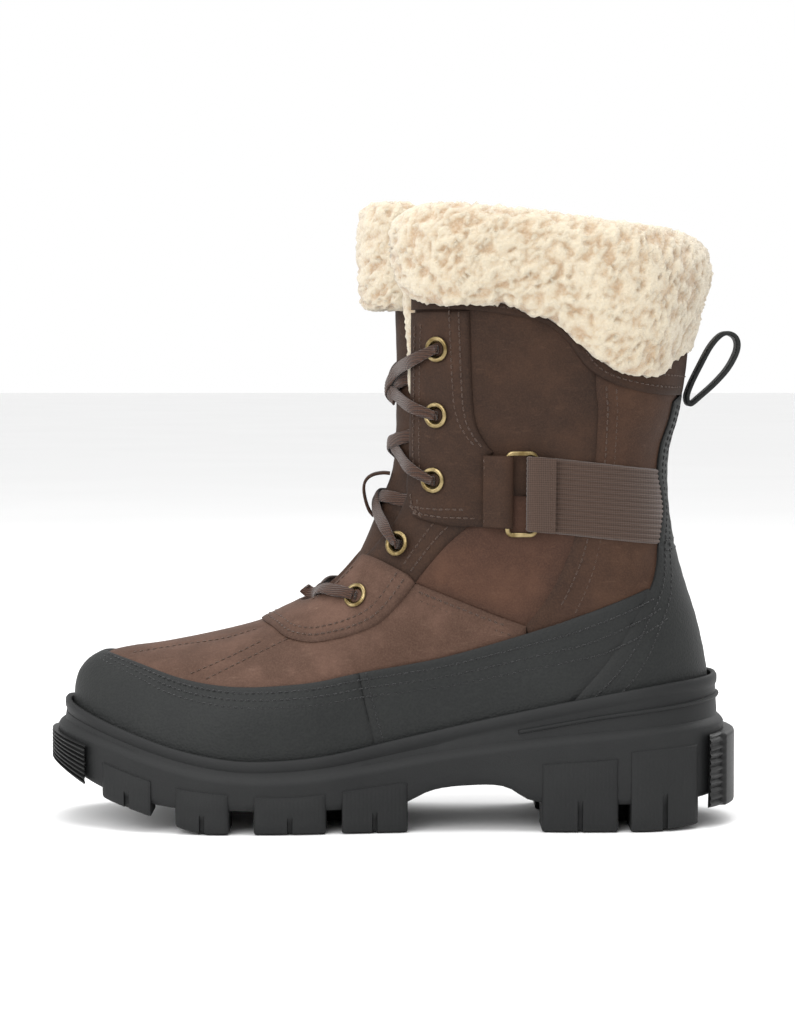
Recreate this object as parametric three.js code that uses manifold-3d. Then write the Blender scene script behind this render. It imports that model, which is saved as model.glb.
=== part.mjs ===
// A lined winter boot for the left foot, built as its separate pieces: a lugged rubber sole unit, a lasted
// leather upper of sewn panels, stiffeners, insulation and lining, a sheepskin cuff, lacing and hardware.
// Millimetres, +Z up, toe towards -X, outer side towards -Y, origin on the ground under the middle of the heel.
import * as THREE from "three";
import { mergeVertices } from "three/addons/utils/BufferGeometryUtils.js";
import Module from "manifold-3d";

const wasm = await Module();
wasm.setup();

// ---- Driving dimensions -------------------------------------------------------------------------------
const BOOT_LENGTH = 286; // toe bumper to heel bumper; every side-view x is graded with it
const SHAFT_HEIGHT = 236; // ground to the top edge of the leather; every side-view z is graded with it
const BALL_WIDTH = 98; // leather to leather across the ball
const WAIST_WIDTH = 73; // leather to leather across the arch
const HEEL_WIDTH = 75;
const ANKLE_WIDTH = 80;
const SHAFT_WIDTH = 94; // at the collar
const TOE_SWING = 6; // how far the toe end of the centre line leans towards the inner side

const GAP = 0.35; // between pieces that touch on the real boot
// Between round pieces whose faces follow each other only roughly, more so the longer the boot.
const FIT = 1.2 * (BOOT_LENGTH / 286) ** 2;
const SEAM = 0.4; // between two panels that meet edge to edge
const LEATHER = 1.8; // vamp, quarters and shaft panels
const OVERLAY = 1.7; // rand, counter, eyestay and collar band
const STIFFENER = 1.2; // toe puff and heel stiffener
const INSULATION = 3;
const LINING = 1.4;
const BOARD = 2; // insole board
const FOOTBED = 6;
const FOOTBED_CLEARANCE = 3.4; // footbed to lining
const CUFF_THICKNESS = 9; // sheepskin outside the collar
const TONGUE_LEATHER = 1.8;
const TONGUE_PAD = 4.5;
const TONGUE_HALF = 23; // half the width of the tongue on the shaft
const TONGUE_CURL = 13; // how far the tongue's edges fall back from its middle
const THROAT_HALF = 27; // half the clear gap between the cuff's two ends

const SOLE_LIP = 2.2; // thickness of the sole's rim round the upper
const SOLE_RIDGE = 5; // how far the lower ridge stands out past the rim's inner face
const SOLE_FLOOR = 4; // rubber under the midsole
const LUG_PAD = 1.2; // how far each lug's side pad stands out past the ridge
const LUG_REACH = 24; // how far a side lug reaches in under the sole
const BUMPER = 1.6; // thickness of the toe bumper
const HEEL_BUMPER = 3.4;

const EYELET_FLANGE = 5.3; // radii of a brass eyelet
const EYELET_BARREL = 2.9;
const EYELET_BORE = 2.3;
const LACE_RADIUS = 1.15;
const WEBBING_WIDTH = 31;
const WEBBING = 1.6; // thickness
const RING_BAR = 2; // width of the strap ring's bars, seen from the side
const RING_THICKNESS = 1.7;
const RING_LENGTH = 13.5;
const LOOP_THICKNESS = 1.8; // pull loop
const LOOP_WIDTH = 14;
const KEEPER_WIDTH = 12;
const KEEPER_THICKNESS = 1.2;
const SHANK_HALF = 8;
const SHANK_THICKNESS = 1.3;

// ---- Grading: outlines are drawn once, for a 286 mm boot that is 236 mm high ---------------------------
const GRADE_X = BOOT_LENGTH / 286;
const GRADE_Z = SHAFT_HEIGHT / 236;
const side = (x, z) => new THREE.Vector2(x * GRADE_X, z * GRADE_Z);

const clamp01 = (t) => Math.min(1, Math.max(0, t));
const smooth = (t) => clamp01(t) ** 2 * (3 - 2 * clamp01(t));
const mix = (a, b, t) => a + (b - a) * t;
// A rounded end: 0 at the edge, 1 from a distance of one radius inwards.
const rounded = (t, power) => (1 - (1 - clamp01(t)) ** power) ** (1 / power);

// A smooth value over one coordinate through a few [position, value] points, straight beyond them.
function through(points) {
  const slope = points.map((_, i) => {
    const [a, b] = [points[Math.max(i - 1, 0)], points[Math.min(i + 1, points.length - 1)]];
    return (b[1] - a[1]) / (b[0] - a[0]);
  });
  return (u) => {
    const last = points.length - 1;
    if (u <= points[0][0]) return points[0][1] + slope[0] * (u - points[0][0]);
    if (u >= points[last][0]) return points[last][1] + slope[last] * (u - points[last][0]);
    const i = points.findIndex(([p]) => p >= u) - 1;
    const [[u0, v0], [u1, v1]] = [points[i], points[i + 1]];
    const [h, t] = [u1 - u0, (u - u0) / (u1 - u0)];
    return (
      v0 * (1 + 2 * t) * (1 - t) ** 2 + v1 * t * t * (3 - 2 * t) +
      slope[i] * h * t * (1 - t) ** 2 - slope[i + 1] * h * t * t * (1 - t)
    );
  };
}
const heightOverLength = (points) => through(points.map(([x, z]) => side(x, z).toArray()));

// ---- Lines of the last and the sole, side view ---------------------------------------------------------
// Each rib runs from the top or front of the leather to the bottom of the last or up its back.
const RIBS = [
  [-227, 50, -227, 31], [-226.2, 57, -226, 28], [-223.6, 63, -222.6, 25], [-217, 68.2, -216, 22],
  [-205, 71.3, -203, 17], [-190, 73.3, -186, 13], [-170, 77.3, -164, 11], [-150, 82.6, -138, 11],
  [-134.5, 89.6, -112, 14], [-122, 98, -84, 19], [-112.6, 108.5, -56, 24], [-105, 120.5, -28, 29],
  [-99, 132, 0, 31], [-95.4, 140, 20, 31], [-93.4, 146, 33, 33], [-92.4, 151.5, 36.6, 46],
  [-91.9, 157.5, 35.7, 64], [-91.6, 164.5, 31.6, 84], [-91.5, 172, 26.4, 101], [-91.4, 181, 21.8, 118],
  [-91.4, 191, 19.2, 137], [-91.6, 202, 19.6, 155], [-92, 214, 24.2, 173], [-92.4, 226, 27, 195],
  [-92.8, 240, 27.8, 222], [-93.2, 262, 28.4, 262],
];
const BACK_FROM = 15; // the first rib that ends on the back
const frontLine = new THREE.SplineCurve(RIBS.map(([x, z]) => side(x, z)));
const backLine = new THREE.SplineCurve(RIBS.map((r) => side(r[2], r[3])));
const TOE = frontLine.points[0].x;
const backOverHeight = through(backLine.points.slice(BACK_FROM).map(({ x, y }) => [y, x]));
const HEEL_Z = backLine.points[BACK_FROM].y;
const backAt = (z) => backOverHeight(Math.max(z, HEEL_Z));
const HEEL = backAt(HEEL_Z);

const bedHeight = heightOverLength([
  [-227, 41], [-205, 30], [-185, 24.5], [-160, 21.5], [-135, 21.5], [-110, 24.5], [-85, 29], [-60, 34],
  [-35, 39], [-10, 42.5], [15, 44], [37, 44.5],
]); // top of the insole board
const lipHeight = heightOverLength([
  [-231, 50.8], [-222, 47], [-205, 40.7], [-183, 33.8], [-161, 29.8], [-144, 29.3], [-121, 31.4], [-93, 37.4],
  [-57, 45.5], [-20, 53.3], [15, 59.5], [41, 62],
]);
const ridgeHeight = heightOverLength([
  [-235, 40.7], [-217, 35.7], [-194, 28.4], [-172, 23.2], [-149, 21], [-127, 21.8], [-104, 25], [-74, 30.4],
  [-33, 36], [5, 39.5], [46, 42.5],
]);
const treadHeight = heightOverLength([
  [-236, 28], [-222, 20], [-205, 14], [-185, 10.5], [-160, 9.5], [-120, 9.5], [-92, 11], [-78, 17], [-62, 19],
  [-48, 18.4], [-38, 13], [-25, 11.5], [20, 11.5], [46, 14],
]);
const groundHeight = heightOverLength([
  [-236, 24], [-215, 13.5], [-192, 6], [-176, 0.8], [-166, 0], [-150, 0], [-90, 0], [-40, 0], [0, 0], [12, 0],
  [30, 1.6], [46, 4],
]);
const padTop = heightOverLength([
  [-215, 28], [-192, 21], [-172, 17.6], [-136, 15.5], [-101, 19.3], [-33, 28], [-2, 30.5], [3, 33], [33, 35],
]);

// ---- The last's surface --------------------------------------------------------------------------------
const FRONT_RADIUS = 36; // shaft section, from its front back to its full width
const VAMP_RADIUS = 42;
const TOE_RADIUS = 72;
const HEEL_RADIUS = 42;

const footHalf = through(
  [[-227, 0.96 * BALL_WIDTH], [-190, 0.985 * BALL_WIDTH], [-162, BALL_WIDTH], [-130, mix(WAIST_WIDTH, BALL_WIDTH, 0.7)],
    [-95, mix(WAIST_WIDTH, BALL_WIDTH, 0.15)], [-65, WAIST_WIDTH], [-25, mix(WAIST_WIDTH, HEEL_WIDTH, 0.6)],
    [10, HEEL_WIDTH], [37, HEEL_WIDTH]].map(([x, width]) => [x * GRADE_X, width / 2]),
);
const shaftHalf = through(
  [[100, ANKLE_WIDTH], [125, ANKLE_WIDTH + 1], [150, mix(ANKLE_WIDTH, SHAFT_WIDTH, 0.45)],
    [180, mix(ANKLE_WIDTH, SHAFT_WIDTH, 0.8)], [214, SHAFT_WIDTH], [262, SHAFT_WIDTH + 2]]
    .map(([z, width]) => [z * GRADE_Z, width / 2]),
);
const centreAt = (x) => TOE_SWING * smooth((-85 * GRADE_X - x) / (140 * GRADE_X));

// Half the width at a side-view point that lies `along` behind the front line, on the surface grown by `offset`.
function halfWidth(x, z, along, ribLength, offset) {
  const up = smooth((z / GRADE_Z - 68) / 57);
  const widest = mix(footHalf(x), shaftHalf(z), up) + offset;
  const radius = Math.min(mix(VAMP_RADIUS, FRONT_RADIUS, up) + offset, 0.78 * ribLength);
  return Math.max(
    0.3,
    widest * rounded(along / radius, mix(2.05, 2.3, up)) *
      rounded((x - TOE + offset) / (TOE_RADIUS + offset), 2.25) *
      rounded((backAt(z) + offset - x) / (HEEL_RADIUS + offset), 2.25),
  );
}

const tangent = (curve, s) =>
  curve.getPoint(Math.min(1, s + 0.004)).sub(curve.getPoint(Math.max(0, s - 0.004))).normalize();
function rib(s, offset) {
  const t = tangent(frontLine, s);
  const from = frontLine.getPoint(s).add(new THREE.Vector2(-t.y, t.x).multiplyScalar(offset));
  const to = backLine.getPoint(s);
  to.x += offset * ((2 * (to.x - TOE)) / (HEEL - TOE) - 1);
  return [from, to];
}

// A closed loop of points: one at the start, then the near side out and the far side back.
const loopOf = (start, near, far) => [start, ...near, ...far.reverse()];

function ribLoop(s, offset, across) {
  const [from, to] = rib(s, offset);
  const length = from.distanceTo(to);
  const start = new THREE.Vector3(from.x, centreAt(from.x), from.y);
  const [near, far] = [[], []];
  for (let i = 1; i <= across; i++) {
    const t = (1 - Math.cos((Math.PI * i) / across)) / 2;
    const p = from.clone().lerp(to, t);
    const half = halfWidth(p.x, p.y, t * length, length, offset);
    near.push(new THREE.Vector3(p.x, centreAt(p.x) - half, p.y));
    far.push(new THREE.Vector3(p.x, centreAt(p.x) + half, p.y));
  }
  return loopOf(start, near, far);
}

// ---- Solids ---------------------------------------------------------------------------------------------
// Joins loops of equal length into one closed solid, capped at both ends or closed into a ring.
function loft(loops, ring = false) {
  const m = loops[0].length;
  const index = [];
  const quad = (a, b, c, d) => index.push(a, b, c, a, c, d);
  loops.forEach((_, k) => {
    if (k === loops.length - 1 && !ring) return;
    const [low, high] = [k * m, ((k + 1) % loops.length) * m];
    for (let i = 0; i < m; i++) quad(low + i, low + ((i + 1) % m), high + ((i + 1) % m), high + i);
  });
  if (!ring) {
    const capAt = (base, turn) => {
      const face = (...corners) => quad(...(turn ? corners.reverse() : corners));
      for (let i = 0; i < (m - 1) / 2; i++) {
        if (i === 0) index.push(...(turn ? [base, base + m - 1, base + 1] : [base, base + 1, base + m - 1]));
        else face(base + i, base + i + 1, base + m - 1 - i, base + m - i);
      }
    };
    capAt(0, true);
    capAt((loops.length - 1) * m, false);
  }
  const geometry = new THREE.BufferGeometry();
  geometry.setFromPoints(loops.flat());
  geometry.setIndex(index);
  return solid(geometry);
}

function solid(geometry) {
  geometry.deleteAttribute("normal");
  geometry.deleteAttribute("uv");
  const merged = mergeVertices(geometry, 1e-4);
  const p = merged.attributes.position;
  const triVerts = new Uint32Array(merged.index.array);
  const corner = (k) => new THREE.Vector3().fromBufferAttribute(p, triVerts[k]);
  let volume = 0;
  for (let k = 0; k < triVerts.length; k += 3) volume += corner(k).dot(corner(k + 1).cross(corner(k + 2)));
  if (volume < 0) triVerts.reverse();
  return new wasm.Manifold(new wasm.Mesh({ numProp: 3, vertProperties: p.array, triVerts }));
}

function geometryOf(manifold) {
  const { vertProperties, triVerts } = manifold.getMesh();
  const geometry = new THREE.BufferGeometry();
  geometry.setAttribute("position", new THREE.BufferAttribute(vertProperties, 3));
  geometry.setIndex(new THREE.BufferAttribute(triVerts, 1));
  geometry.computeVertexNormals();
  return geometry;
}

const RIB_STEPS = 25;
const ACROSS = 8;
const bodies = new Map();
// The whole last grown by an offset, from the toe to above the collar.
function lastBody(offset, steps = RIB_STEPS, across = ACROSS) {
  const key = [offset, steps, across].join();
  if (!bodies.has(key)) {
    const loops = Array.from({ length: steps + 1 }, (_, i) => ribLoop(i / steps, offset, across));
    bodies.set(key, loft(loops));
  }
  return bodies.get(key);
}
const shell = (inner, outer, ...detail) => lastBody(outer, ...detail).subtract(lastBody(inner, ...detail));

const PAST = 400; // further than any face of the boot
// A straight-sided cutter through the whole boot, or through one side of it, from a side-view outline.
function cutter(outline, from = -PAST, to = PAST) {
  const geometry = new THREE.ExtrudeGeometry(new THREE.Shape(outline), { depth: to - from, bevelEnabled: false });
  geometry.rotateX(Math.PI / 2).translate(0, to, 0);
  return solid(geometry);
}
function block(x0, x1, y0, y1, z0, z1) {
  const geometry = new THREE.BoxGeometry(x1 - x0, y1 - y0, z1 - z0);
  geometry.translate((x0 + x1) / 2, (y0 + y1) / 2, (z0 + z1) / 2);
  return solid(geometry);
}
const half = (manifold, way) =>
  manifold.intersect(way < 0 ? block(-PAST, PAST, -PAST, -SEAM / 2, -PAST, PAST)
    : block(-PAST, PAST, SEAM / 2, PAST, -PAST, PAST));
const union = (...solids) => solids.reduce((all, one) => all.add(one));
// The piece itself, without the slivers that a cut along a corner can leave.
const largest = (manifold) => manifold.decompose().sort((a, b) => b.volume() - a.volume())[0];

// A smooth run of side-view points; runs laid end to end make an outline with corners between them.
function run(points, steps = 2) {
  const graded = points.map(([x, z]) => side(x, z));
  return points.length > 2 ? new THREE.SplineCurve(graded).getPoints(steps * (points.length - 1)) : graded;
}
// The thin cutter that parts two panels along a seam.
function parting(line, width = SEAM) {
  const offset = (way) =>
    line.map((p, i) => {
      const t = line[Math.min(i + 1, line.length - 1)].clone().sub(line[Math.max(i - 1, 0)]).normalize();
      return p.clone().add(new THREE.Vector2(-t.y, t.x).multiplyScalar((way * width) / 2));
    });
  return cutter([...offset(1), ...offset(-1).reverse()]);
}

// ---- Seam lines of the upper, side view ----------------------------------------------------------------
const throat = run([[-133.4, 90.6], [-127, 92.6], [-118, 98.6], [-108.2, 109.4], [-98.8, 120.6], [-91.6, 131],
  [-86.6, 147], [-86, 162], [-85.6, 185], [-85.4, 215]], 2);
const vampSeam = run([[-85.3, 102.1], [-68.9, 95.5], [-53.3, 89.2], [-39.5, 84.2]]);
const hiddenVampEdge = run([[-106.5, 112], [-99, 101], [-92, 99.4], [-85.3, 102.1]]);
const facingSeam = run([[-62.4, 126], [-71.5, 118.4], [-79.4, 109.6], [-85.3, 102.1]]);
const waistLine = run([[-110, 138], [-13.8, 138]]);
const facingTop = run([[-61.4, 138], [-62.4, 126]]);
const diagonalSeam = run([[-14.6, 138], [-19.5, 120.8], [-23.1, 110.9], [-29.8, 97.2], [-39.5, 84.2]]);
const rearSeam = run([[-10.6, 245], [-11.3, 187.3], [-10.3, 172.6], [-11.3, 152], [-14.6, 138]]);
const underRand = run([[-39.5, 84.2], [-38, 0]]);
const randTop = run([[-224, 76], [-217.1, 72.7], [-204.5, 66.8], [-183.1, 61.3], [-166.3, 58.8], [-149.5, 58.4],
  [-126.8, 60.5], [-106.7, 64.7], [-74.3, 70.6], [-40.1, 80.5], [-14.3, 89.5], [12.2, 100]], 2);
const randSeam = run([[-107.6, 68], [-107.3, 63.4], [-104.6, 50], [-101.6, 37], [-100, 15]], 1);
const counterEdge = run([[-26, 46], [-16.5, 57.4], [-8.5, 66.6], [0.7, 79.5], [6.7, 91.2], [12.4, 100.5],
  [14.6, 108.5], [14.9, 116.5], [16, 124], [17.4, 132], [16, 140], [14.8, 147], [16.4, 158], [20, 168],
  [22.2, 176.6]], 1);
const collarEdge = run([[-110, 213.8], [-63, 213.8], [-41.2, 210.8], [-30.7, 207.5], [-23.1, 200.8],
  [-14.7, 189.8], [-3.8, 183.5], [12.2, 179.6], [40, 177.6]], 1);

// Everything in front of the throat line is open for the tongue.
const throatCut = cutter([...throat, ...run([[-85.4, 290], [-170, 290]]), ...run([[-170, 130], [-134.4, 92.4]])]);
const bedSteps = 26;
const bedLine = Array.from({ length: bedSteps + 1 }, (_, i) => {
  const x = mix(TOE - 20, HEEL + 20, i / bedSteps);
  return new THREE.Vector2(x, bedHeight(x));
});
const raised = (line, by) => line.map((p) => new THREE.Vector2(p.x, p.y + by));
const belowCollar = (low, top = SHAFT_HEIGHT) =>
  cutter([...raised(bedLine, low), new THREE.Vector2(HEEL + 20, top), new THREE.Vector2(TOE - 20, top)]);
const standing = belowCollar(GAP); // from the board to the collar

// ---- Points on the leather, for what is fastened through it ---------------------------------------------
function ribThrough(x, z) {
  let [low, high] = [0, 1];
  for (let i = 0; i < 40; i++) {
    const s = (low + high) / 2;
    const [from, to] = rib(s, 0);
    const behind = (to.x - from.x) * (z - from.y) - (to.y - from.y) * (x - from.x) < 0;
    if (behind) high = s;
    else low = s;
  }
  return rib(low, 0);
}
function onLeather(x, z, way) {
  const [from, to] = ribThrough(x, z);
  const along = from.distanceTo(new THREE.Vector2(x, z));
  const y = centreAt(x) + way * halfWidth(x, z, along, from.distanceTo(to), 0);
  return new THREE.Vector3(x, y, z);
}
function seat(x, z, way) {
  const [dx, dz] = [
    onLeather(x + 0.6, z, way).sub(onLeather(x - 0.6, z, way)),
    onLeather(x, z + 0.6, way).sub(onLeather(x, z - 0.6, way)),
  ];
  const out = dz.clone().cross(dx).normalize();
  if (out.y * way < 0) out.negate();
  const along = dx.normalize();
  return { at: onLeather(x, z, way), out, along, up: out.clone().cross(along).normalize() };
}
const lifted = (place, by) => place.at.clone().addScaledVector(place.out, by);
// A frame on the leather: local X along the boot, local Y up it, local Z out of it.
function frameOn(place, by) {
  const up = place.out.clone().cross(place.along);
  return new THREE.Matrix4().makeBasis(place.along, up, place.out).setPosition(lifted(place, by));
}

// ---- Sole unit --------------------------------------------------------------------------------------------
const PLAN_STEPS = 20;
// The outline of the sole at an offset from the leather, at a height that follows its length.
function planLoop(offset, height) {
  const [from, to] = [TOE - offset, HEEL + offset];
  const [near, far] = [[], []];
  for (let i = 1; i <= PLAN_STEPS; i++) {
    const x = mix(from, to, (1 - Math.cos((Math.PI * i) / PLAN_STEPS)) / 2);
    const wide = Math.max(
      0.3,
      (footHalf(x) + offset) * rounded((x - from) / (TOE_RADIUS + offset), 2.25) *
        rounded((to - x) / (HEEL_RADIUS + offset), 2.25),
    );
    near.push(new THREE.Vector3(x, centreAt(x) - wide, height(x)));
    far.push(new THREE.Vector3(x, centreAt(x) + wide, height(x)));
  }
  return loopOf(new THREE.Vector3(from, centreAt(from), height(from)), near, far);
}
const plus = (line, by) => (x) => line(x) + by;

const RIM_INNER = GAP + OVERLAY + FIT;
const RIM_OUTER = RIM_INNER + SOLE_LIP;
const RIDGE = RIM_INNER + SOLE_RIDGE;
const BESIDE = RIM_INNER - GAP; // pieces that lie inside the cup

const cup = () => loft([
  planLoop(RIDGE - 6, treadHeight),
  planLoop(RIDGE - 1, treadHeight),
  planLoop(RIDGE, plus(treadHeight, 3)),
  planLoop(RIDGE, ridgeHeight),
  planLoop(RIM_OUTER + 0.5, plus(ridgeHeight, 2.4)),
  planLoop(RIM_OUTER - 0.6, plus(lipHeight, -5.5)),
  planLoop(RIM_OUTER, plus(lipHeight, -4)),
  planLoop(RIM_OUTER, lipHeight),
  planLoop(RIM_INNER, plus(lipHeight, 0.6)),
  planLoop(RIM_INNER, plus(treadHeight, SOLE_FLOOR)),
]);

const LUG_ROOT = SOLE_FLOOR - 1.5; // how far a lug runs up into the floor
const LUGS = [[-214, -193], [-183, -161], [-150.8, -121.4], [-115, -88], [-33, -1.7], [3.4, 32]];
const MIDDLE_LUGS = [[-204, -190, 13], [-178, -164, 15], [-152, -138, 16], [-124, -110, 14], [-98, -88, 11],
  [-14, 14, 13], [20, 32, 11]];
function lugs() {
  const outer = RIDGE + LUG_PAD;
  const band = loft([
    planLoop(outer - 1.6, groundHeight),
    planLoop(outer, plus(groundHeight, 4)),
    planLoop(outer, padTop),
    planLoop(outer - LUG_PAD - 1.5, plus(padTop, 1)),
    planLoop(outer - LUG_REACH, plus(treadHeight, LUG_ROOT)),
    planLoop(outer - LUG_REACH, groundHeight),
  ], true);
  const rows = LUGS.map(([from, to]) =>
    band.intersect(block(from * GRADE_X, to * GRADE_X, -PAST, PAST, -PAST, PAST)));
  const middle = MIDDLE_LUGS.map(([from, to, wide]) => {
    const [x0, x1] = [from * GRADE_X, to * GRADE_X];
    const outline = [
      new THREE.Vector2(x0, groundHeight(x0)), new THREE.Vector2(x1, groundHeight(x1)),
      new THREE.Vector2(x1, treadHeight(x1) + LUG_ROOT), new THREE.Vector2(x0, treadHeight(x0) + LUG_ROOT),
    ];
    const y = centreAt((x0 + x1) / 2);
    return cutter(outline, y - wide, y + wide);
  });
  return [...rows, ...middle];
}
const cupTop = loft([planLoop(RIM_INNER, plus(treadHeight, SOLE_FLOOR)), planLoop(RIM_INNER, plus(lipHeight, 30))]);
const outsole = () => union(cup(), ...lugs()).subtract(cupTop);

const midsoleTop = plus(bedHeight, -BOARD - GAP);
const shankSpace = (room) => {
  const [from, to] = [-118 * GRADE_X - room, 6 * GRADE_X + room];
  return loft([planLoop(BESIDE, plus(midsoleTop, -SHANK_THICKNESS - room)), planLoop(BESIDE, plus(midsoleTop, room))])
    .intersect(block(from, to, -SHANK_HALF - room, SHANK_HALF + room, -PAST, PAST));
};
const midsole = () =>
  loft([planLoop(BESIDE, plus(treadHeight, SOLE_FLOOR + GAP)), planLoop(BESIDE, midsoleTop)])
    .subtract(shankSpace(GAP));
const shank = () => shankSpace(0);
const insoleBoard = () => loft([planLoop(BESIDE, plus(bedHeight, -BOARD)), planLoop(BESIDE, bedHeight)]);
const CAVITY = -(LEATHER + STIFFENER + INSULATION + LINING + 3 * GAP + FIT); // inner face of the lining
const footbed = () => {
  const inset = CAVITY - FOOTBED_CLEARANCE * GRADE_X ** 2;
  const top = plus(bedHeight, FIT + FOOTBED);
  return loft([planLoop(inset - 1.5, plus(bedHeight, FIT)), planLoop(inset, plus(bedHeight, FIT + 2)),
    planLoop(inset, plus(top, -1)), planLoop(inset - 1.5, top)]);
};
// A band that lies on the sole's side wall between two heights, cut off at a station.
function bumper(thickness, low, high, keep) {
  const inner = RIDGE + LUG_PAD + GAP;
  return loft([planLoop(inner, low), planLoop(inner + thickness, plus(low, 1)),
    planLoop(inner + thickness, plus(high, -1)), planLoop(inner, high)], true).intersect(keep);
}
const toeBumper = () =>
  bumper(BUMPER, plus(groundHeight, 1), plus(ridgeHeight, -3),
    block(-PAST, -221 * GRADE_X, -PAST, PAST, -PAST, PAST));
const heelBumper = () =>
  bumper(HEEL_BUMPER, () => 8 * GRADE_Z, plus(ridgeHeight, -3.5),
    block(37 * GRADE_X, PAST, -PAST, PAST, -PAST, PAST));

// ---- Leather upper ------------------------------------------------------------------------------------------
const leather = shell(-LEATHER, 0).intersect(standing).subtract(throatCut);
const overlay = shell(GAP, GAP + OVERLAY).intersect(standing).subtract(throatCut);
const corner = (...points) => points.map(([x, z]) => side(x, z));
const reversed = (line) => [...line].reverse();

const eyelets = [[-108.2, 95.3], [-91, 117.4], [-76.5, 144.3], [-75.2, 170.9], [-74.8, 197.8]]
  .map(([x, z]) => side(x, z));
function punch(place, radius) {
  const geometry = new THREE.CylinderGeometry(radius, radius, 16, 8).rotateX(Math.PI / 2);
  return solid(geometry.applyMatrix4(frameOn(place, 0)));
}
const eyeletHoles = union(...eyelets.flatMap(({ x, y }) =>
  [-1, 1].map((way) => punch(seat(x, y, way), EYELET_BARREL + GAP))));
const partings = union(...[vampSeam, hiddenVampEdge, facingSeam, facingTop, diagonalSeam, rearSeam, underRand,
  waistLine].map((line) => parting(line)));
const panelStock = leather.subtract(partings).subtract(eyeletHoles);
const panel = (outline) => panelStock.intersect(cutter(outline));

const vamp = () => panel([
  ...corner([-260, -20], [-260, 130], [-106.5, 130]), ...hiddenVampEdge, ...vampSeam.slice(1), ...underRand.slice(1),
  ...corner([-38, -20]),
]);
const facing = () => panel([
  ...corner([-110, 138]), ...facingTop, ...facingSeam.slice(1), ...reversed(hiddenVampEdge).slice(1),
  ...corner([-125, 112]),
]);
const quarter = () => panel([
  ...facingTop, ...facingSeam.slice(1), ...vampSeam.slice(1), ...reversed(diagonalSeam).slice(1),
]);
const shaftPanel = () => panel([...corner([-110, 138], [-110, 245]), ...rearSeam]);
const backQuarter = () => panel([
  ...rearSeam, ...diagonalSeam.slice(1), ...underRand.slice(1), ...corner([60, 0], [60, 245]),
]);

const overlayPartings = union(parting(randSeam), parting(counterEdge), parting(collarEdge, 2 * SEAM));
const overlayStock = overlay.subtract(overlayPartings);
const covering = (outline) => overlayStock.intersect(cutter(outline));
const toeRand = () => covering([...corner([-260, 0], [-260, 76]), ...randTop.filter((p) => p.x < randSeam[0].x),
  ...randSeam, ...corner([-100, 0])]);
const sideRand = () => covering([
  ...randSeam, ...corner([-100, 0], [-26, 0]), ...counterEdge.filter((p) => p.y < 99 * GRADE_Z),
  ...reversed(randTop.filter((p) => p.x > randSeam[0].x)),
]);
const heelCounter = () => covering([...corner([-26, 0]), ...counterEdge, ...corner([60, 176.6], [60, 0])]);
const collarBand = () => covering([...collarEdge, ...corner([60, 177], [60, 290], [-110, 290])]);
const throatOverlay = () => {
  const edge = run([[-152, 88], [-147.8, 84], [-144.2, 81.5], [-137.4, 77.8], [-128.5, 76.4], [-120.7, 77.3],
    [-110.3, 79.9], [-99.8, 84.5], [-92, 92], [-84.7, 101.8]], 1);
  return overlayStock.subtract(eyeletHoles)
    .intersect(cutter([...edge, ...corner([-87.4, 105], [-105.5, 110.7], [-112, 130], [-150, 130])]));
};

// Strap ring, and the two folds that hold it: the eyestay's tab in front, the webbing behind.
const strapLine = through([[-57, 139.6], [-43, 139.2], [-15, 136.4], [17, 132.4]].map(([x, z]) =>
  side(x, z).toArray()));
const RING_X = -41.6 * GRADE_X;
const ringSeat = (way) => seat(RING_X, strapLine(RING_X), way);
const UNDER_RING = GAP + OVERLAY; // outer face of the plies that lie under the ring
const RING_PLAY = 0.0226 * WEBBING_WIDTH; // the ring is flat and the leg round, so a wide strap needs more
const OVER_RING = UNDER_RING + RING_THICKNESS + 2 * RING_PLAY; // inner face of the plies folded over it
const band = (from, to, width) => {
  const xs = Array.from({ length: 3 }, (_, i) => mix(from, to, i / 2));
  const edge = (way) => xs.map((x) => new THREE.Vector2(x, strapLine(x) + (way * width) / 2));
  return [...edge(-1), ...edge(1).reverse()];
};
// A ply folded over a bar of the ring: an outer ply, an end wall and the sewn stretch where both plies meet.
function fold(end, sewn, width, thickness) {
  const away = Math.sign(sewn - end);
  const piece = (inner, from, to) =>
    shell(inner, OVER_RING + thickness).intersect(cutter(band(Math.min(from, to), Math.max(from, to), width)));
  return union(
    piece(OVER_RING, end, sewn),
    piece(GAP, end, end + away * thickness),
    piece(GAP, sewn, sewn + away * 3),
  );
}
const TAB_WIDTH = WEBBING_WIDTH - 1;
const BAR_ROOM = RING_LENGTH / 2 - RING_BAR - GAP; // from the ring's middle to the faces round its bars
const tabEnd = RING_X - BAR_ROOM + OVERLAY;
const webbingEnd = RING_X + BAR_ROOM - WEBBING;

function eyestays() {
  const rear = run([[-57, 160], [-60.1, 168.4], [-61.6, 183], [-62.6, 213.8]], 1);
  const bottom = run([[-110, 146], [-89.6, 145], [-87.4, 133.5], [-83.4, 128.3], [-71.5, 125.6], [-62, 125.2]], 1);
  const flat = overlayStock.intersect(cutter([...bottom, ...rear, ...corner([-110, 213.8])]));
  const tab = shell(GAP, GAP + OVERLAY).intersect(cutter(band(-66 * GRADE_X, tabEnd, TAB_WIDTH)));
  const sewn = fold(tabEnd, -54 * GRADE_X, TAB_WIDTH, OVERLAY);
  return union(flat, tab, sewn).subtract(eyeletHoles);
}
function webbings() {
  const rear = overlayStock.intersect(cutter(band(webbingEnd, 30 * GRADE_X, WEBBING_WIDTH)));
  const inFront = cutter([...corner([-60, 100]), ...counterEdge.filter((p) => p.y > 90 * GRADE_Z),
    ...corner([-60, 176.6])]);
  const folded = fold(webbingEnd, webbingEnd + 11, WEBBING_WIDTH, WEBBING);
  return union(rear.intersect(inFront), folded);
}
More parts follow.
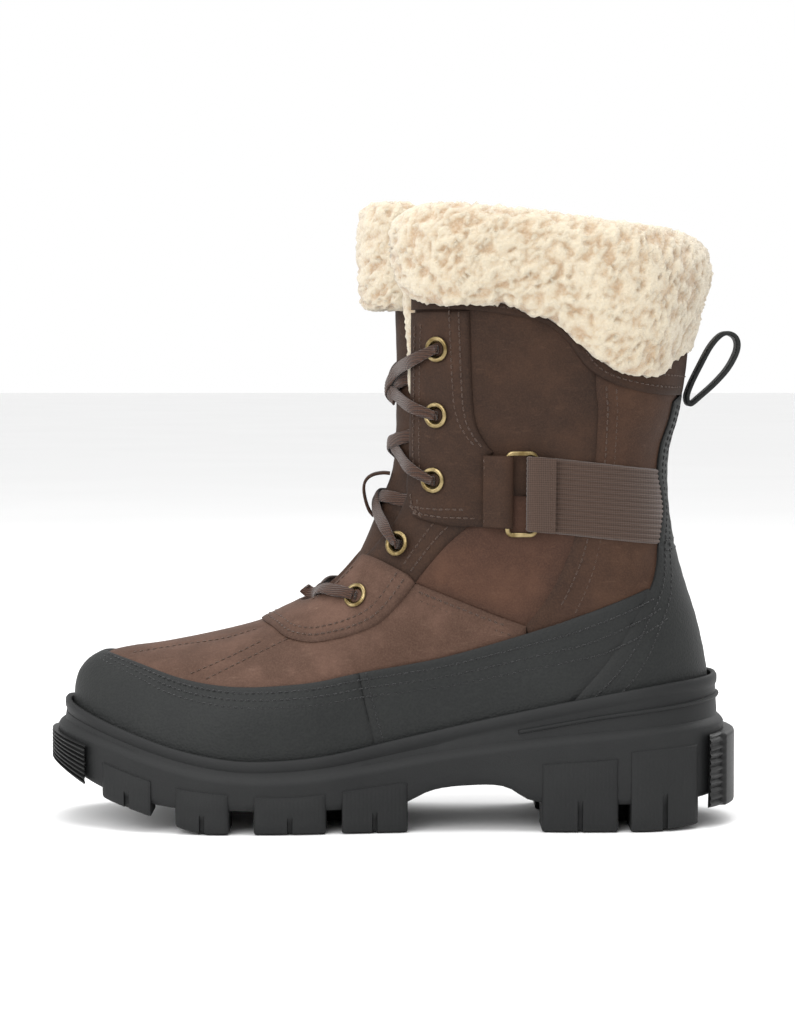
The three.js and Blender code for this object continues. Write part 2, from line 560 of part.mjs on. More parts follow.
function strapRing(way) {
  const shape = new THREE.Shape();
  const [w, h] = [RING_LENGTH / 2, WEBBING_WIDTH / 2 + 2 * GAP + RING_BAR];
  shape.setFromPoints([[-w, -h], [w, -h], [w, h], [-w, h]].map((p) => new THREE.Vector2(...p)));
  const hole = new THREE.Path().setFromPoints(
    [[-w, -h], [-w, h], [w, h], [w, -h]].map(([x, y]) =>
      new THREE.Vector2(x - Math.sign(x) * RING_BAR, y - Math.sign(y) * RING_BAR)));
  shape.holes.push(hole);
  const geometry = new THREE.ExtrudeGeometry(shape, { depth: RING_THICKNESS, bevelEnabled: false });
  return solid(geometry.applyMatrix4(frameOn(ringSeat(way), UNDER_RING + RING_PLAY)));
}

// ---- Inside the leather -------------------------------------------------------------------------------------
const stiffenerOuter = -LEATHER - GAP;
const insulationOuter = stiffenerOuter - STIFFENER - FIT - GAP;
const insulationInner = insulationOuter - INSULATION;
const innerThroat = run([[-146, 100], [-140, 80], [-126, 74], [-106, 82], [-90, 100], [-78, 124], [-70, 150],
  [-68, 190], [-68, 290]], 1);
const innerThroatCut = cutter([...innerThroat, ...corner([-200, 290], [-200, 120])]);
const toePuff = () => shell(stiffenerOuter - STIFFENER, stiffenerOuter).intersect(standing)
  .intersect(cutter(corner([-260, 0], [-178, 0], [-186, 100], [-260, 100])));
const heelStiffener = () => shell(stiffenerOuter - STIFFENER, stiffenerOuter).intersect(standing)
  .intersect(cutter(corner([-40, 0], [-22, 60], [0, 96], [60, 100], [60, 0])));
const COARSE = [16, 6];
const bootieStock = (inner, outer) =>
  shell(inner, outer, ...COARSE).intersect(belowCollar(GAP, SHAFT_HEIGHT)).subtract(innerThroatCut);
const insulation = () => bootieStock(insulationInner, insulationOuter);
const lining = () => bootieStock(CAVITY, CAVITY + LINING);

// ---- Sheepskin cuff, tongue and its cuff ---------------------------------------------------------------------
function cuff() {
  const outline = [
    ...run([[-91, 232], [-85.3, 222], [-73.5, 216.4], [-46.6, 216.7], [-41.2, 213.4], [-27.3, 209.2],
      [-19.7, 200.8], [-2.9, 189], [12.2, 187], [19, 194.5], [29, 197.5], [33, 209], [38.5, 225], [70, 228]], 1),
    ...run([[70, 240], [34, 243], [22, 247.5], [-9.2, 250.5], [-25.2, 253], [-56.3, 257], [-74, 258], [-86, 253],
      [-91, 243], [-91, 232]], 1).slice(0, -1),
  ];
  const under = GAP + OVERLAY + GAP;
  const seated = lastBody(under).intersect(block(-PAST, PAST, -PAST, PAST, -PAST, SHAFT_HEIGHT + GAP));
  return lastBody(under + CUFF_THICKNESS).intersect(cutter(outline))
    .subtract(union(seated, lastBody(CAVITY)))
    .subtract(block(-PAST, -55 * GRADE_X, -THROAT_HALF, THROAT_HALF, -PAST, PAST));
}
const TONGUE_STEPS = 13;
const TONGUE_FROM = 0.315; // where along the front line the tongue starts, under the throat overlay
const TONGUE_TO = 0.955;
const TONGUE_DIP = 2.4; // how deep the tongue starts under the vamp, in thicknesses of leather
const tongueHalf = (s) => mix(12, TONGUE_HALF, smooth((s - TONGUE_FROM) / 0.22));
const tongueRise = (s) => mix(-TONGUE_DIP * LEATHER * GRADE_X, 1.2, smooth((s - TONGUE_FROM) / (0.111 * LEATHER)));
// A point `by` in front of the front line, `u` of the way to the tongue's edge, where it has curled back.
function onTongue(s, u, by, wide = tongueHalf(s)) {
  const t = tangent(frontLine, s);
  const back = TONGUE_CURL * ((wide * u) / TONGUE_HALF) ** 2;
  const p = frontLine.getPoint(s).addScaledVector(new THREE.Vector2(-t.y, t.x), by - back);
  return new THREE.Vector3(p.x, centreAt(p.x) + wide * u, p.y);
}
// A strip that follows the front line between two distances in front of it, curled back at its edges.
function tongueStrip(outer, inner, from, to, halfAt = tongueHalf) {
  const us = [-1, -0.55, 0, 0.55, 1];
  const loops = Array.from({ length: TONGUE_STEPS + 1 }, (_, i) => {
    const s = mix(from, to, i / TONGUE_STEPS);
    const at = (u, by) => onTongue(s, u, by, halfAt(s));
    return [at(-1, (outer(s) + inner(s)) / 2), ...us.map((u) => at(u, outer(s))),
      ...[...us].reverse().map((u) => at(u, inner(s)))];
  });
  return loft(loops);
}
const belowRise = (by) => (s) => tongueRise(s) - by;
const tongue = () => tongueStrip(belowRise(0), belowRise(TONGUE_LEATHER), TONGUE_FROM, TONGUE_TO);
const padOuter = TONGUE_LEATHER + FIT;
const tonguePad = () => tongueStrip(belowRise(padOuter), belowRise(padOuter + TONGUE_PAD), TONGUE_FROM, TONGUE_TO);
function tongueCuff() {
  const wide = () => THROAT_HALF - 3.5;
  const thick = padOuter + TONGUE_PAD;
  const whole = tongueStrip(belowRise(-CUFF_THICKNESS - 3), belowRise(thick), 0.885, 1, wide);
  const held = tongueStrip(belowRise(-2 * FIT), belowRise(thick + 5), 0.86, TONGUE_TO + 0.005, () => THROAT_HALF + 5);
  return whole.subtract(held);
}
const KEEPER_FROM = 0.473;
const KEEPER_TO = 0.54;
const KEEPER_ROOM = 2 * LACE_RADIUS + 5; // between the tongue and the keeper's middle
function laceKeeper() {
  const arc = (by) => Array.from({ length: 9 }, (_, i) => {
    const s = mix(KEEPER_FROM, KEEPER_TO, i / 8);
    const p = onTongue(s, 0, tongueRise(s) + GAP + by + KEEPER_ROOM * Math.sin((Math.PI * i) / 8) ** 0.7);
    return new THREE.Vector2(p.x, p.z);
  });
  return cutter([...arc(0), ...arc(KEEPER_THICKNESS).reverse()], -KEEPER_WIDTH / 2, KEEPER_WIDTH / 2);
}

// ---- Lacing -------------------------------------------------------------------------------------------------
const FLANGE_AT = GAP + OVERLAY + 0.7; // the flange's under side; the leather curves away from it
const FLANGE = 0.9;
const EYELET_TAIL = -LEATHER - 0.5;
function eyelet(place) {
  const profile = [[EYELET_BORE, EYELET_TAIL], [EYELET_BARREL, EYELET_TAIL], [EYELET_BARREL, FLANGE_AT],
    [EYELET_FLANGE, FLANGE_AT], [EYELET_FLANGE - 0.3, FLANGE_AT + 0.6 * FLANGE], [EYELET_BARREL + 0.4, FLANGE_AT + FLANGE],
    [EYELET_BORE, FLANGE_AT + 0.6 * FLANGE], [EYELET_BORE, EYELET_TAIL]].map((p) => new THREE.Vector2(...p));
  const geometry = new THREE.LatheGeometry(profile, 9).rotateX(Math.PI / 2);
  return solid(geometry.applyMatrix4(frameOn(place, 0)));
}

const LACE_OUT = FLANGE_AT + FLANGE + GAP + LACE_RADIUS;
const LACE_IN = -LEATHER - 2 * FIT - LACE_RADIUS;
const LACE_SIDES = 4;
function laceRun(points) {
  const curve = new THREE.CatmullRomCurve3(points, false, "centripetal");
  const section = new THREE.Shape(Array.from({ length: LACE_SIDES }, (_, i) => {
    const a = (2 * Math.PI * i) / LACE_SIDES;
    return new THREE.Vector2(LACE_RADIUS * Math.cos(a), LACE_RADIUS * Math.sin(a));
  }));
  const steps = Math.max(3, Math.round(curve.getLength() / 6));
  return solid(new THREE.ExtrudeGeometry(section, { extrudePath: curve, steps, bevelEnabled: false }));
}
const throatX = through([...throat].sort((a, b) => a.y - b.y).map(({ x, y }) => [y, x]));
const hole = (k, way, by) => lifted(seat(eyelets[k].x, eyelets[k].y, way), by);
// The points that take the lace straight through an eyelet, from inside to outside.
const throughBore = (k, way) =>
  [LACE_IN, EYELET_TAIL, FLANGE_AT, LACE_OUT].map((by) => hole(k, way, by));
const overEdge = (z, way, by, behind) => lifted(seat(throatX(z) + behind, z, way), by);
const frontAt = (z) => {
  let [low, high] = [0, 1];
  for (let i = 0; i < 30; i++) {
    const s = (low + high) / 2;
    if (frontLine.getPoint(s).y > z) high = s;
    else low = s;
  }
  return low;
};
const onFront = (z, u) => {
  const s = frontAt(z);
  return onTongue(s, u, tongueRise(s) + LACE_RADIUS + GAP + 0.4);
};
const CROSSINGS = [134.5, 158, 181].map((z) => z * GRADE_Z); // where each pair of strands crosses
function crossing(k, way) {
  const [from, to, middle] = [eyelets[k].y, eyelets[k + 1].y, CROSSINGS[k - 1]];
  const leave = mix(from, middle, 0.3);
  const under = mix(middle, to, 0.45);
  return laceRun([
    ...throughBore(k, way), overEdge(leave, way, LACE_OUT - 1, 2),
    onFront(middle, 0), onFront(mix(middle, under, 0.4), -way * 0.5), onFront(under, -way),
    overEdge(under, -way, LACE_IN, 7), hole(k + 1, -way, LACE_IN),
  ]);
}
function lace() {
  const last = eyelets.length - 1;
  const { x, y: z } = eyelets[0];
  const bar = [-1, 1].map((way) => laceRun([
    ...throughBore(0, way), lifted(seat(x - 9 * GRADE_X, z, way), LACE_OUT),
    lifted(seat(x - 18 * GRADE_X, z - 1, way), LACE_OUT - 1),
    new THREE.Vector3(-130.5 * GRADE_X, centreAt(-130 * GRADE_X), 97.6 * GRADE_Z),
  ]));
  const risers = [-1, 1].map((way) => laceRun([
    ...throughBore(0, way).reverse().slice(1), ...throughBore(1, way).slice(0, -1),
  ]));
  const crossings = [1, 2, 3].flatMap((k) => [crossing(k, -1), crossing(k, 1)]);
  const tails = [-1, 1].map((way) => laceRun([
    ...throughBore(last, way), overEdge(eyelets[last].y - 7, way, LACE_OUT - 1, 2), onFront(CROSSINGS[2], 0),
  ]));
  return union(...bar, ...risers, ...crossings, ...tails);
}

// ---- Pull loop ------------------------------------------------------------------------------------------------
function pullLoop() {
  const centre = [[30.6, 174.6], [35, 178], [41, 183.4], [46.3, 189.4], [49.8, 195.8], [50.5, 200.3], [48.9, 203.4],
    [45.6, 204.4], [42.4, 202.7], [38.7, 198.1], [34.6, 190.4], [31, 183], [29.3, 177.6]];
  const curve = new THREE.CatmullRomCurve3(
    centre.map(([x, z]) => new THREE.Vector3(x * GRADE_X, z * GRADE_Z, 0)), true);
  const edge = (way) => Array.from({ length: 26 }, (_, i) => {
    const [p, t] = [curve.getPoint(i / 26), curve.getTangent(i / 26)];
    return new THREE.Vector2(p.x - (t.y * way * LOOP_THICKNESS) / 2, p.y + (t.x * way * LOOP_THICKNESS) / 2);
  });
  return cutter(edge(-1), -LOOP_WIDTH / 2, LOOP_WIDTH / 2)
    .subtract(cutter(edge(1), -LOOP_WIDTH / 2 - 1, LOOP_WIDTH / 2 + 1));
}

// ---- Assembly ---------------------------------------------------------------------------------------------------
const surface = (color, roughness, metalness = 0) => () =>
  new THREE.MeshStandardMaterial({ color, roughness, metalness });
const rubber = surface(0x2e2f31, 0.7);
const blackLeather = surface(0x3a3b3c, 0.6);
const brownLeather = surface(0x5d4a3e, 0.75);
const tanLeather = surface(0x745f50, 0.75);
const fleece = surface(0xf2e3c8, 0.95);
const foam = surface(0x6f6f6c, 0.9);
const fibre = surface(0xb39d78, 0.9);
const webbingCloth = surface(0x5c4a40, 0.85);
const laceCloth = surface(0x4a2f22, 0.85);
const brass = surface(0xa08a5a, 0.35, 1);
const steel = surface(0x8d9196, 0.4, 1);

const boot = new THREE.Group();
function place(name, manifold, material) {
  const mesh = new THREE.Mesh(geometryOf(manifold), material());
  mesh.name = name;
  boot.add(mesh);
}
function placePair(name, manifold, material) {
  place(`${name}_outer`, largest(half(manifold, -1)), material);
  place(`${name}_inner`, largest(half(manifold, 1)), material);
}

place("outsole", outsole(), rubber);
place("toe_bumper", toeBumper(), rubber);
place("heel_bumper", heelBumper(), rubber);
place("midsole", midsole(), foam);
place("shank", shank(), steel);
place("insole_board", insoleBoard(), fibre);
place("footbed", footbed(), fleece);
place("toe_puff", toePuff(), fibre);
place("heel_stiffener", heelStiffener(), fibre);
place("insulation", insulation(), foam);
place("lining", lining(), fleece);
place("vamp", vamp(), tanLeather);
placePair("quarter_facing", facing(), brownLeather);
placePair("quarter", quarter(), brownLeather);
placePair("shaft_panel", shaftPanel(), brownLeather);
placePair("back_quarter", backQuarter(), tanLeather);
place("throat_overlay", throatOverlay(), tanLeather);
placePair("eyestay", eyestays(), brownLeather);
place("toe_rand", toeRand(), blackLeather);
placePair("side_rand", sideRand(), blackLeather);
place("heel_counter", heelCounter(), blackLeather);
place("collar_band", collarBand(), brownLeather);
placePair("webbing_strap", webbings(), webbingCloth);
place("strap_ring_outer", strapRing(-1), brass);
place("strap_ring_inner", strapRing(1), brass);
place("cuff", cuff(), fleece);
place("tongue", tongue(), brownLeather);
place("tongue_pad", tonguePad(), foam);
place("tongue_cuff", tongueCuff(), fleece);
place("lace_keeper", laceKeeper(), blackLeather);
place("lace", lace(), laceCloth);
place("pull_loop", pullLoop(), blackLeather);
eyelets.forEach(({ x, y }, k) => {
  place(`eyelet_outer_${k + 1}`, eyelet(seat(x, y, -1)), brass);
  place(`eyelet_inner_${k + 1}`, eyelet(seat(x, y, 1)), brass);
});

export default boot;
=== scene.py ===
"""The looks of a lined winter boot: sewn leather panels, sheepskin, lacing, brass and a lugged rubber sole."""

import math

import bmesh
import bpy
import numpy as np
from mathutils import Matrix, Vector
from mathutils import noise as texture
from mathutils.geometry import delaunay_2d_cdt


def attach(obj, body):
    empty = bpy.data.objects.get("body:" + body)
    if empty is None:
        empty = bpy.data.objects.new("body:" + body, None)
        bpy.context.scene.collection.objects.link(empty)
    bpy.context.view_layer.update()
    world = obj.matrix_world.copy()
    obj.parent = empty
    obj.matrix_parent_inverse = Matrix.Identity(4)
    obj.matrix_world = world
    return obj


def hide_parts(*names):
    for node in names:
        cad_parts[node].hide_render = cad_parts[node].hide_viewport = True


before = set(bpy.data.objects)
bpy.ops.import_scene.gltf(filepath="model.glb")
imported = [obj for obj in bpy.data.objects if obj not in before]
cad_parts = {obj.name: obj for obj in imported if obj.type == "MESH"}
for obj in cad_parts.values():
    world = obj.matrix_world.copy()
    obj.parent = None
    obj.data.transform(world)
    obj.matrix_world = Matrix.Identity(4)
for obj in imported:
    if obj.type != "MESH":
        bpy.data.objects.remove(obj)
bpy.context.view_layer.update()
MM = 0.001

# ---- The last, in millimetres: the same lines as the CAD model's -----------------------------------------
RIBS = np.array([
    [-227, 50, -227, 31], [-226.2, 57, -226, 28], [-223.6, 63, -222.6, 25], [-217, 68.2, -216, 22],
    [-205, 71.3, -203, 17], [-190, 73.3, -186, 13], [-170, 77.3, -164, 11], [-150, 82.6, -138, 11],
    [-134.5, 89.6, -112, 14], [-122, 98, -84, 19], [-112.6, 108.5, -56, 24], [-105, 120.5, -28, 29],
    [-99, 132, 0, 31], [-95.4, 140, 20, 31], [-93.4, 146, 33, 33], [-92.4, 151.5, 36.6, 46],
    [-91.9, 157.5, 35.7, 64], [-91.6, 164.5, 31.6, 84], [-91.5, 172, 26.4, 101], [-91.4, 181, 21.8, 118],
    [-91.4, 191, 19.2, 137], [-91.6, 202, 19.6, 155], [-92, 214, 24.2, 173], [-92.4, 226, 27, 195],
    [-92.8, 240, 27.8, 222], [-93.2, 262, 28.4, 262]], float)
BACK_FROM = 15
BALL, WAIST, HEEL_WIDTH, ANKLE, SHAFT = 98.0, 73.0, 75.0, 80.0, 94.0
TOE_SWING = 6.0
GAP, FIT, LEATHER, OVERLAY = 0.35, 1.2, 1.8, 1.7
CAVITY = -9.65
COLLAR = 236.0
TOE, HEEL, HEEL_Z = RIBS[0, 0], RIBS[BACK_FROM, 2], RIBS[BACK_FROM, 3]


def smooth(t):
    t = np.clip(t, 0, 1)
    return t * t * (3 - 2 * t)


def mix(a, b, t):
    return a + (b - a) * t


def rounded(t, power):
    return (1 - (1 - np.clip(t, 0, 1)) ** power) ** (1 / power)


def through(points):
    """A smooth value over one coordinate through [position, value] points, straight beyond them."""
    u0, v0 = np.array(points, float).T
    low, high = np.maximum(np.arange(len(u0)) - 1, 0), np.minimum(np.arange(len(u0)) + 1, len(u0) - 1)
    slope = (v0[high] - v0[low]) / (u0[high] - u0[low])

    def value(u):
        u = np.asarray(u, float)
        i = np.clip(np.searchsorted(u0, u, side="left") - 1, 0, len(u0) - 2)
        h = u0[i + 1] - u0[i]
        t = (np.clip(u, u0[0], u0[-1]) - u0[i]) / h
        inside = (v0[i] * (1 + 2 * t) * (1 - t) ** 2 + v0[i + 1] * t * t * (3 - 2 * t)
                  + slope[i] * h * t * (1 - t) ** 2 - slope[i + 1] * h * t * t * (1 - t))
        beyond = slope[0] * np.minimum(u - u0[0], 0) + slope[-1] * np.maximum(u - u0[-1], 0)
        return inside + beyond
    return value


def spline(points, s):
    """A point at s from 0 to 1 on the smooth curve through the points."""
    points = np.asarray(points, float)
    last = len(points) - 1
    p = np.clip(s, 0, 1) * last
    i = np.minimum(p.astype(int), last - 1)
    t = (p - i)[..., None]
    a, b = points[np.maximum(i - 1, 0)], points[i]
    c, d = points[i + 1], points[np.minimum(i + 2, last)]
    v0, v1 = (c - a) / 2, (d - b) / 2
    return (2 * b - 2 * c + v0 + v1) * t ** 3 + (3 * c - 3 * b - 2 * v0 - v1) * t ** 2 + v0 * t + b


bed_height = through([[-227, 41], [-205, 30], [-185, 24.5], [-160, 21.5], [-135, 21.5], [-110, 24.5], [-85, 29],
                      [-60, 34], [-35, 39], [-10, 42.5], [15, 44], [37, 44.5]])
lip_height = through([[-231, 50.8], [-222, 47], [-205, 40.7], [-183, 33.8], [-161, 29.8], [-144, 29.3],
                      [-121, 31.4], [-93, 37.4], [-57, 45.5], [-20, 53.3], [15, 59.5], [41, 62]])
ridge_height = through([[-235, 40.7], [-217, 35.7], [-194, 28.4], [-172, 23.2], [-149, 21], [-127, 21.8],
                        [-104, 25], [-74, 30.4], [-33, 36], [5, 39.5], [46, 42.5]])
tread_height = through([[-236, 28], [-222, 20], [-205, 14], [-185, 10.5], [-160, 9.5], [-120, 9.5], [-92, 11],
                        [-78, 17], [-62, 19], [-48, 18.4], [-38, 13], [-25, 11.5], [20, 11.5], [46, 14]])
ground_height = through([[-236, 24], [-215, 13.5], [-192, 6], [-176, 0.8], [-166, 0], [-150, 0], [-90, 0],
                         [-40, 0], [0, 0], [12, 0], [30, 1.6], [46, 4]])
pad_top = through([[-215, 28], [-192, 21], [-172, 17.6], [-136, 15.5], [-101, 19.3], [-33, 28], [-2, 30.5],
                   [3, 33], [33, 35]])
back_over_height = through([[z, x] for x, z in RIBS[BACK_FROM:, 2:]])
foot_half = through([[-227, 0.48 * BALL], [-190, 0.4925 * BALL], [-162, BALL / 2],
                     [-130, mix(WAIST, BALL, 0.7) / 2], [-95, mix(WAIST, BALL, 0.15) / 2], [-65, WAIST / 2],
                     [-25, mix(WAIST, HEEL_WIDTH, 0.6) / 2], [10, HEEL_WIDTH / 2], [37, HEEL_WIDTH / 2]])
shaft_half = through([[100, ANKLE / 2], [125, (ANKLE + 1) / 2], [150, mix(ANKLE, SHAFT, 0.45) / 2],
                      [180, mix(ANKLE, SHAFT, 0.8) / 2], [214, SHAFT / 2], [262, (SHAFT + 2) / 2]])


def back_at(z):
    return back_over_height(np.maximum(z, HEEL_Z))


def centre_at(x):
    return TOE_SWING * smooth((-85 - np.asarray(x)) / 140)


def rib(s, offset):
    """The two ends of the rib at s, on the surface grown by an offset."""
    s = np.asarray(s, float)
    t = spline(RIBS[:, :2], np.minimum(1, s + 0.004)) - spline(RIBS[:, :2], np.maximum(0, s - 0.004))
    t /= np.linalg.norm(t, axis=-1, keepdims=True)
    start = spline(RIBS[:, :2], s) + np.stack([-t[..., 1], t[..., 0]], -1) * np.asarray(offset)[..., None]
    end = spline(RIBS[:, 2:], s).copy()
    end[..., 0] += offset * (2 * (end[..., 0] - TOE) / (HEEL - TOE) - 1)
    return start, end


def half_width(x, z, along, length, offset):
    up = smooth((z - 68) / 57)
    widest = mix(foot_half(x), shaft_half(z), up) + offset
    radius = np.minimum(mix(42, 36, up) + offset, 0.78 * length)
    toe = rounded((x - TOE + offset) / (72 + offset), 2.25)
    heel = rounded((back_at(z) + offset - x) / (42 + offset), 2.25)
    front = rounded(along / radius, mix(2.05, 2.3, up))
    return np.maximum(0.02, widest * front * toe * heel)


def surface(s, v, offset=0.0):
    """Points on the grown last. v is 0 on the front line and 1 at the back or bottom, on the outer side;
    -v and 2 - v are the same places on the inner side."""
    s, v, offset = np.broadcast_arrays(np.asarray(s, float), np.asarray(v, float), np.asarray(offset, float))
    reach = np.where(v > 1, 2 - v, np.abs(v))
    way = np.where((v < 0) | (v > 1), 1.0, -1.0)
    start, end = rib(s, offset)
    t = (1 - np.cos(np.pi * reach)) / 2
    p = start + (end - start) * t[..., None]
    length = np.linalg.norm(end - start, axis=-1)
    half = half_width(p[..., 0], p[..., 1], t * length, length, offset)
    edge = smooth(np.minimum(t, np.where(p[..., 1] > 60, 1 - t, 1)) / 0.0008)
    return np.stack([p[..., 0], centre_at(p[..., 0]) + way * half * edge, p[..., 1]], -1)


def normals(s, v, offset=0.0):
    ds = surface(s + 0.0015, v, offset) - surface(s - 0.0015, v, offset)
    dv = surface(s, v + 0.002, offset) - surface(s, v - 0.002, offset)
    n = np.cross(dv, ds)
    n /= np.linalg.norm(n, axis=-1, keepdims=True) + 1e-12
    p = surface(s, v, offset)
    outward = p - np.stack([p[..., 0] * 0.9 - 3, centre_at(p[..., 0]), p[..., 2] * 0.9], -1)
    return n * np.sign(np.sum(n * (surface(s, v, offset + 0.5) - p), -1, keepdims=True) + 1e-9)


def locate(points):
    """(s, v) on the outer side for side-view points (x, z)."""
    points = np.asarray(points, float)
    x, z = points[..., 0], points[..., 1]
    low, high = np.zeros(x.shape), np.ones(x.shape)
    for _ in range(40):
        s = (low + high) / 2
        a, b = rib(s, 0.0)
        behind = (b[..., 0] - a[..., 0]) * (z - a[..., 1]) - (b[..., 1] - a[..., 1]) * (x - a[..., 0]) < 0
        high = np.where(behind, s, high)
        low = np.where(behind, low, s)
    a, b = rib(low, 0.0)
    span = b - a
    t = np.sum((points - a) * span, -1) / np.sum(span * span, -1)
    return np.stack([low, np.arccos(1 - 2 * np.clip(t, 0, 1)) / np.pi], -1)


# Panels are drawn on a flat pattern: one unit is about a millimetre of leather, u along the ribs' row, w across.
ALONG, ACROSS = 350.0, 92.0
pattern_of = lambda points: locate(points) * [ALONG, ACROSS]
on_last = lambda flat, offset=0.0: surface(flat[..., 0] / ALONG, flat[..., 1] / ACROSS, offset)
front_twin = lambda flat: flat * [1, -1]
back_twin = lambda flat: flat * [1, -1] + [0, 2 * ACROSS]


def run(points, steps=8):
    """A smooth run of side-view points."""
    points = np.array(points, float)
    if len(points) < 3:
        return points
    return spline(points, np.linspace(0, 1, steps * (len(points) - 1) + 1))


def evenly(line, pitch, closed=False):
    """The same polyline with corners kept near even spacing."""
    line = np.asarray(line, float)
    ends = np.vstack([line[1:], line[:1]]) if closed else line[1:]
    out = []
    for a, b in zip(line, ends):
        count = max(1, int(round(np.linalg.norm(b - a) / pitch)))
        out += [a + (b - a) * k / count for k in range(count)]
    if not closed:
        out.append(line[-1])
    keep = [out[0]]
    for p in out[1:]:
        if np.linalg.norm(p - keep[-1]) > 0.35 * pitch:
            keep.append(p)
    return np.array(keep)


def shifted(line, by):
    """A line moved sideways, to its left as it runs."""
    line = np.asarray(line, float)
    t = np.gradient(line, axis=0)
    t /= np.linalg.norm(t, axis=1, keepdims=True) + 1e-9
    return line + np.stack([-t[:, 1], t[:, 0]], 1) * by


# ---- Seam lines, side view ----------------------------------------------------------------------------------
THROAT = run([[-133.4, 90.6], [-127, 92.6], [-118, 98.6], [-108.2, 109.4], [-98.8, 120.6], [-91.6, 131],
              [-86.6, 147], [-86, 162], [-85.6, 185], [-85.4, 215]])
VAMP_SEAM = run([[-85.3, 102.1], [-68.9, 95.5], [-53.3, 89.2], [-39.5, 84.2]])
HIDDEN_VAMP_EDGE = run([[-106.5, 112], [-99, 101], [-92, 99.4], [-85.3, 102.1]])
FACING_SEAM = run([[-62.4, 126], [-71.5, 118.4], [-79.4, 109.6], [-85.3, 102.1]])
DIAGONAL_SEAM = run([[-14.6, 138], [-19.5, 120.8], [-23.1, 110.9], [-29.8, 97.2], [-39.5, 84.2]])
REAR_SEAM = run([[-10.6, 234], [-11.3, 187.3], [-10.3, 172.6], [-11.3, 152], [-14.6, 138]])
UNDER_RAND = np.array([[-39.5, 84.2], [-38.2, 42]])
RAND_TOP = run([[-217.6, 69.6], [-204.5, 66.8], [-183.1, 61.3], [-166.3, 58.8], [-149.5, 58.4], [-126.8, 60.5],
                [-107.4, 64.5], [-74.3, 70.6], [-40.1, 80.5], [-14.3, 89.5], [10.4, 99.2]])
RAND_SEAM = run([[-107.4, 64.5], [-106.4, 58.5], [-104.4, 49], [-101.2, 35], [-99.4, 26.4]])
COUNTER_EDGE = run([[-24, 49], [-16.5, 57.4], [-8.5, 66.6], [0.7, 79.5], [6.7, 91.2], [12, 100.5], [14.2, 108.5],
                    [14.9, 116.5], [16, 124], [17, 132], [15.8, 140], [14.6, 147], [15.9, 158], [19.3, 168],
                    [21.2, 176.6]])
COLLAR_EDGE = run([[-85.4, 213.8], [-63, 213.8], [-41.2, 210.8], [-30.7, 207.5], [-23.1, 200.8], [-14.7, 189.8],
                   [-3.8, 183.5], [12.2, 179.6], [24.8, 178.6]])
OVERLAY_EDGE = run([[-149.2, 83.1], [-144.2, 81.5], [-137.4, 77.8], [-128.5, 76.4], [-120.7, 77.3],
                    [-110.3, 79.9], [-99.8, 84.5], [-92, 92], [-84.7, 101.8]])
OVERLAY_BACK = np.array([[-84.7, 101.8], [-87.4, 105], [-105.6, 112.2]])
EYESTAY_BOTTOM = run([[-87, 145], [-87.2, 140], [-86.6, 133.5], [-83.4, 128.3], [-71.5, 125.6], [-62, 125.2],
                      [-54, 124.9]])
EYESTAY_REAR = run([[-52.5, 155.5], [-56.6, 160.6], [-60.1, 168.4], [-61.6, 183], [-62.6, 213.4]])
EYELETS = np.array([[-108.2, 95.3], [-91, 117.4], [-76.5, 144.3], [-75.2, 170.9], [-74.8, 197.8]])
part_of = lambda line, keep: line[keep(line[:, 0], line[:, 1])]
above_bed = lambda points, by=0.6: np.column_stack([points, bed_height(points) + by])


# ---- Materials --------------------------------------------------------------------------------------------------
DEPTH = 0.52  # how much of the studio's light a finish of a named colour gives back


def srgb(red, green, blue):
    """A display colour, 0 to 255, as seen under the studio's light."""
    channel = lambda c: c / 12.92 if c <= 0.04045 else ((c + 0.055) / 1.055) ** 2.4
    return tuple(DEPTH * channel(c / 255) for c in (red, green, blue)) + (1.0,)


class Field:
    """A value over the surface: arithmetic on it adds the material's Math nodes."""

    def __init__(self, finish, socket):
        self.finish = finish
        self.socket = socket

    def _math(self, operation, other, swapped=False):
        first, second = (other, self) if swapped else (self, other)
        return self.finish.node("ShaderNodeMath", {"operation": operation}, {0: first, 1: second})

    def __add__(self, other):
        return self._math("ADD", other)

    __radd__ = __add__

    def __sub__(self, other):
        return self._math("SUBTRACT", other)

    def __rsub__(self, other):
        return self._math("SUBTRACT", other, swapped=True)

    def __mul__(self, other):
        return self._math("MULTIPLY", other)

    __rmul__ = __mul__

    def __truediv__(self, other):
        return self._math("DIVIDE", other)

    def __pow__(self, other):
        return self._math("POWER", other)

    def between(self, low, high):
        """0 below one value and 1 above the other."""
        return self.finish.node("ShaderNodeMapRange", {"interpolation_type": "SMOOTHSTEP"},
                                {0: self, 1: low, 2: high})


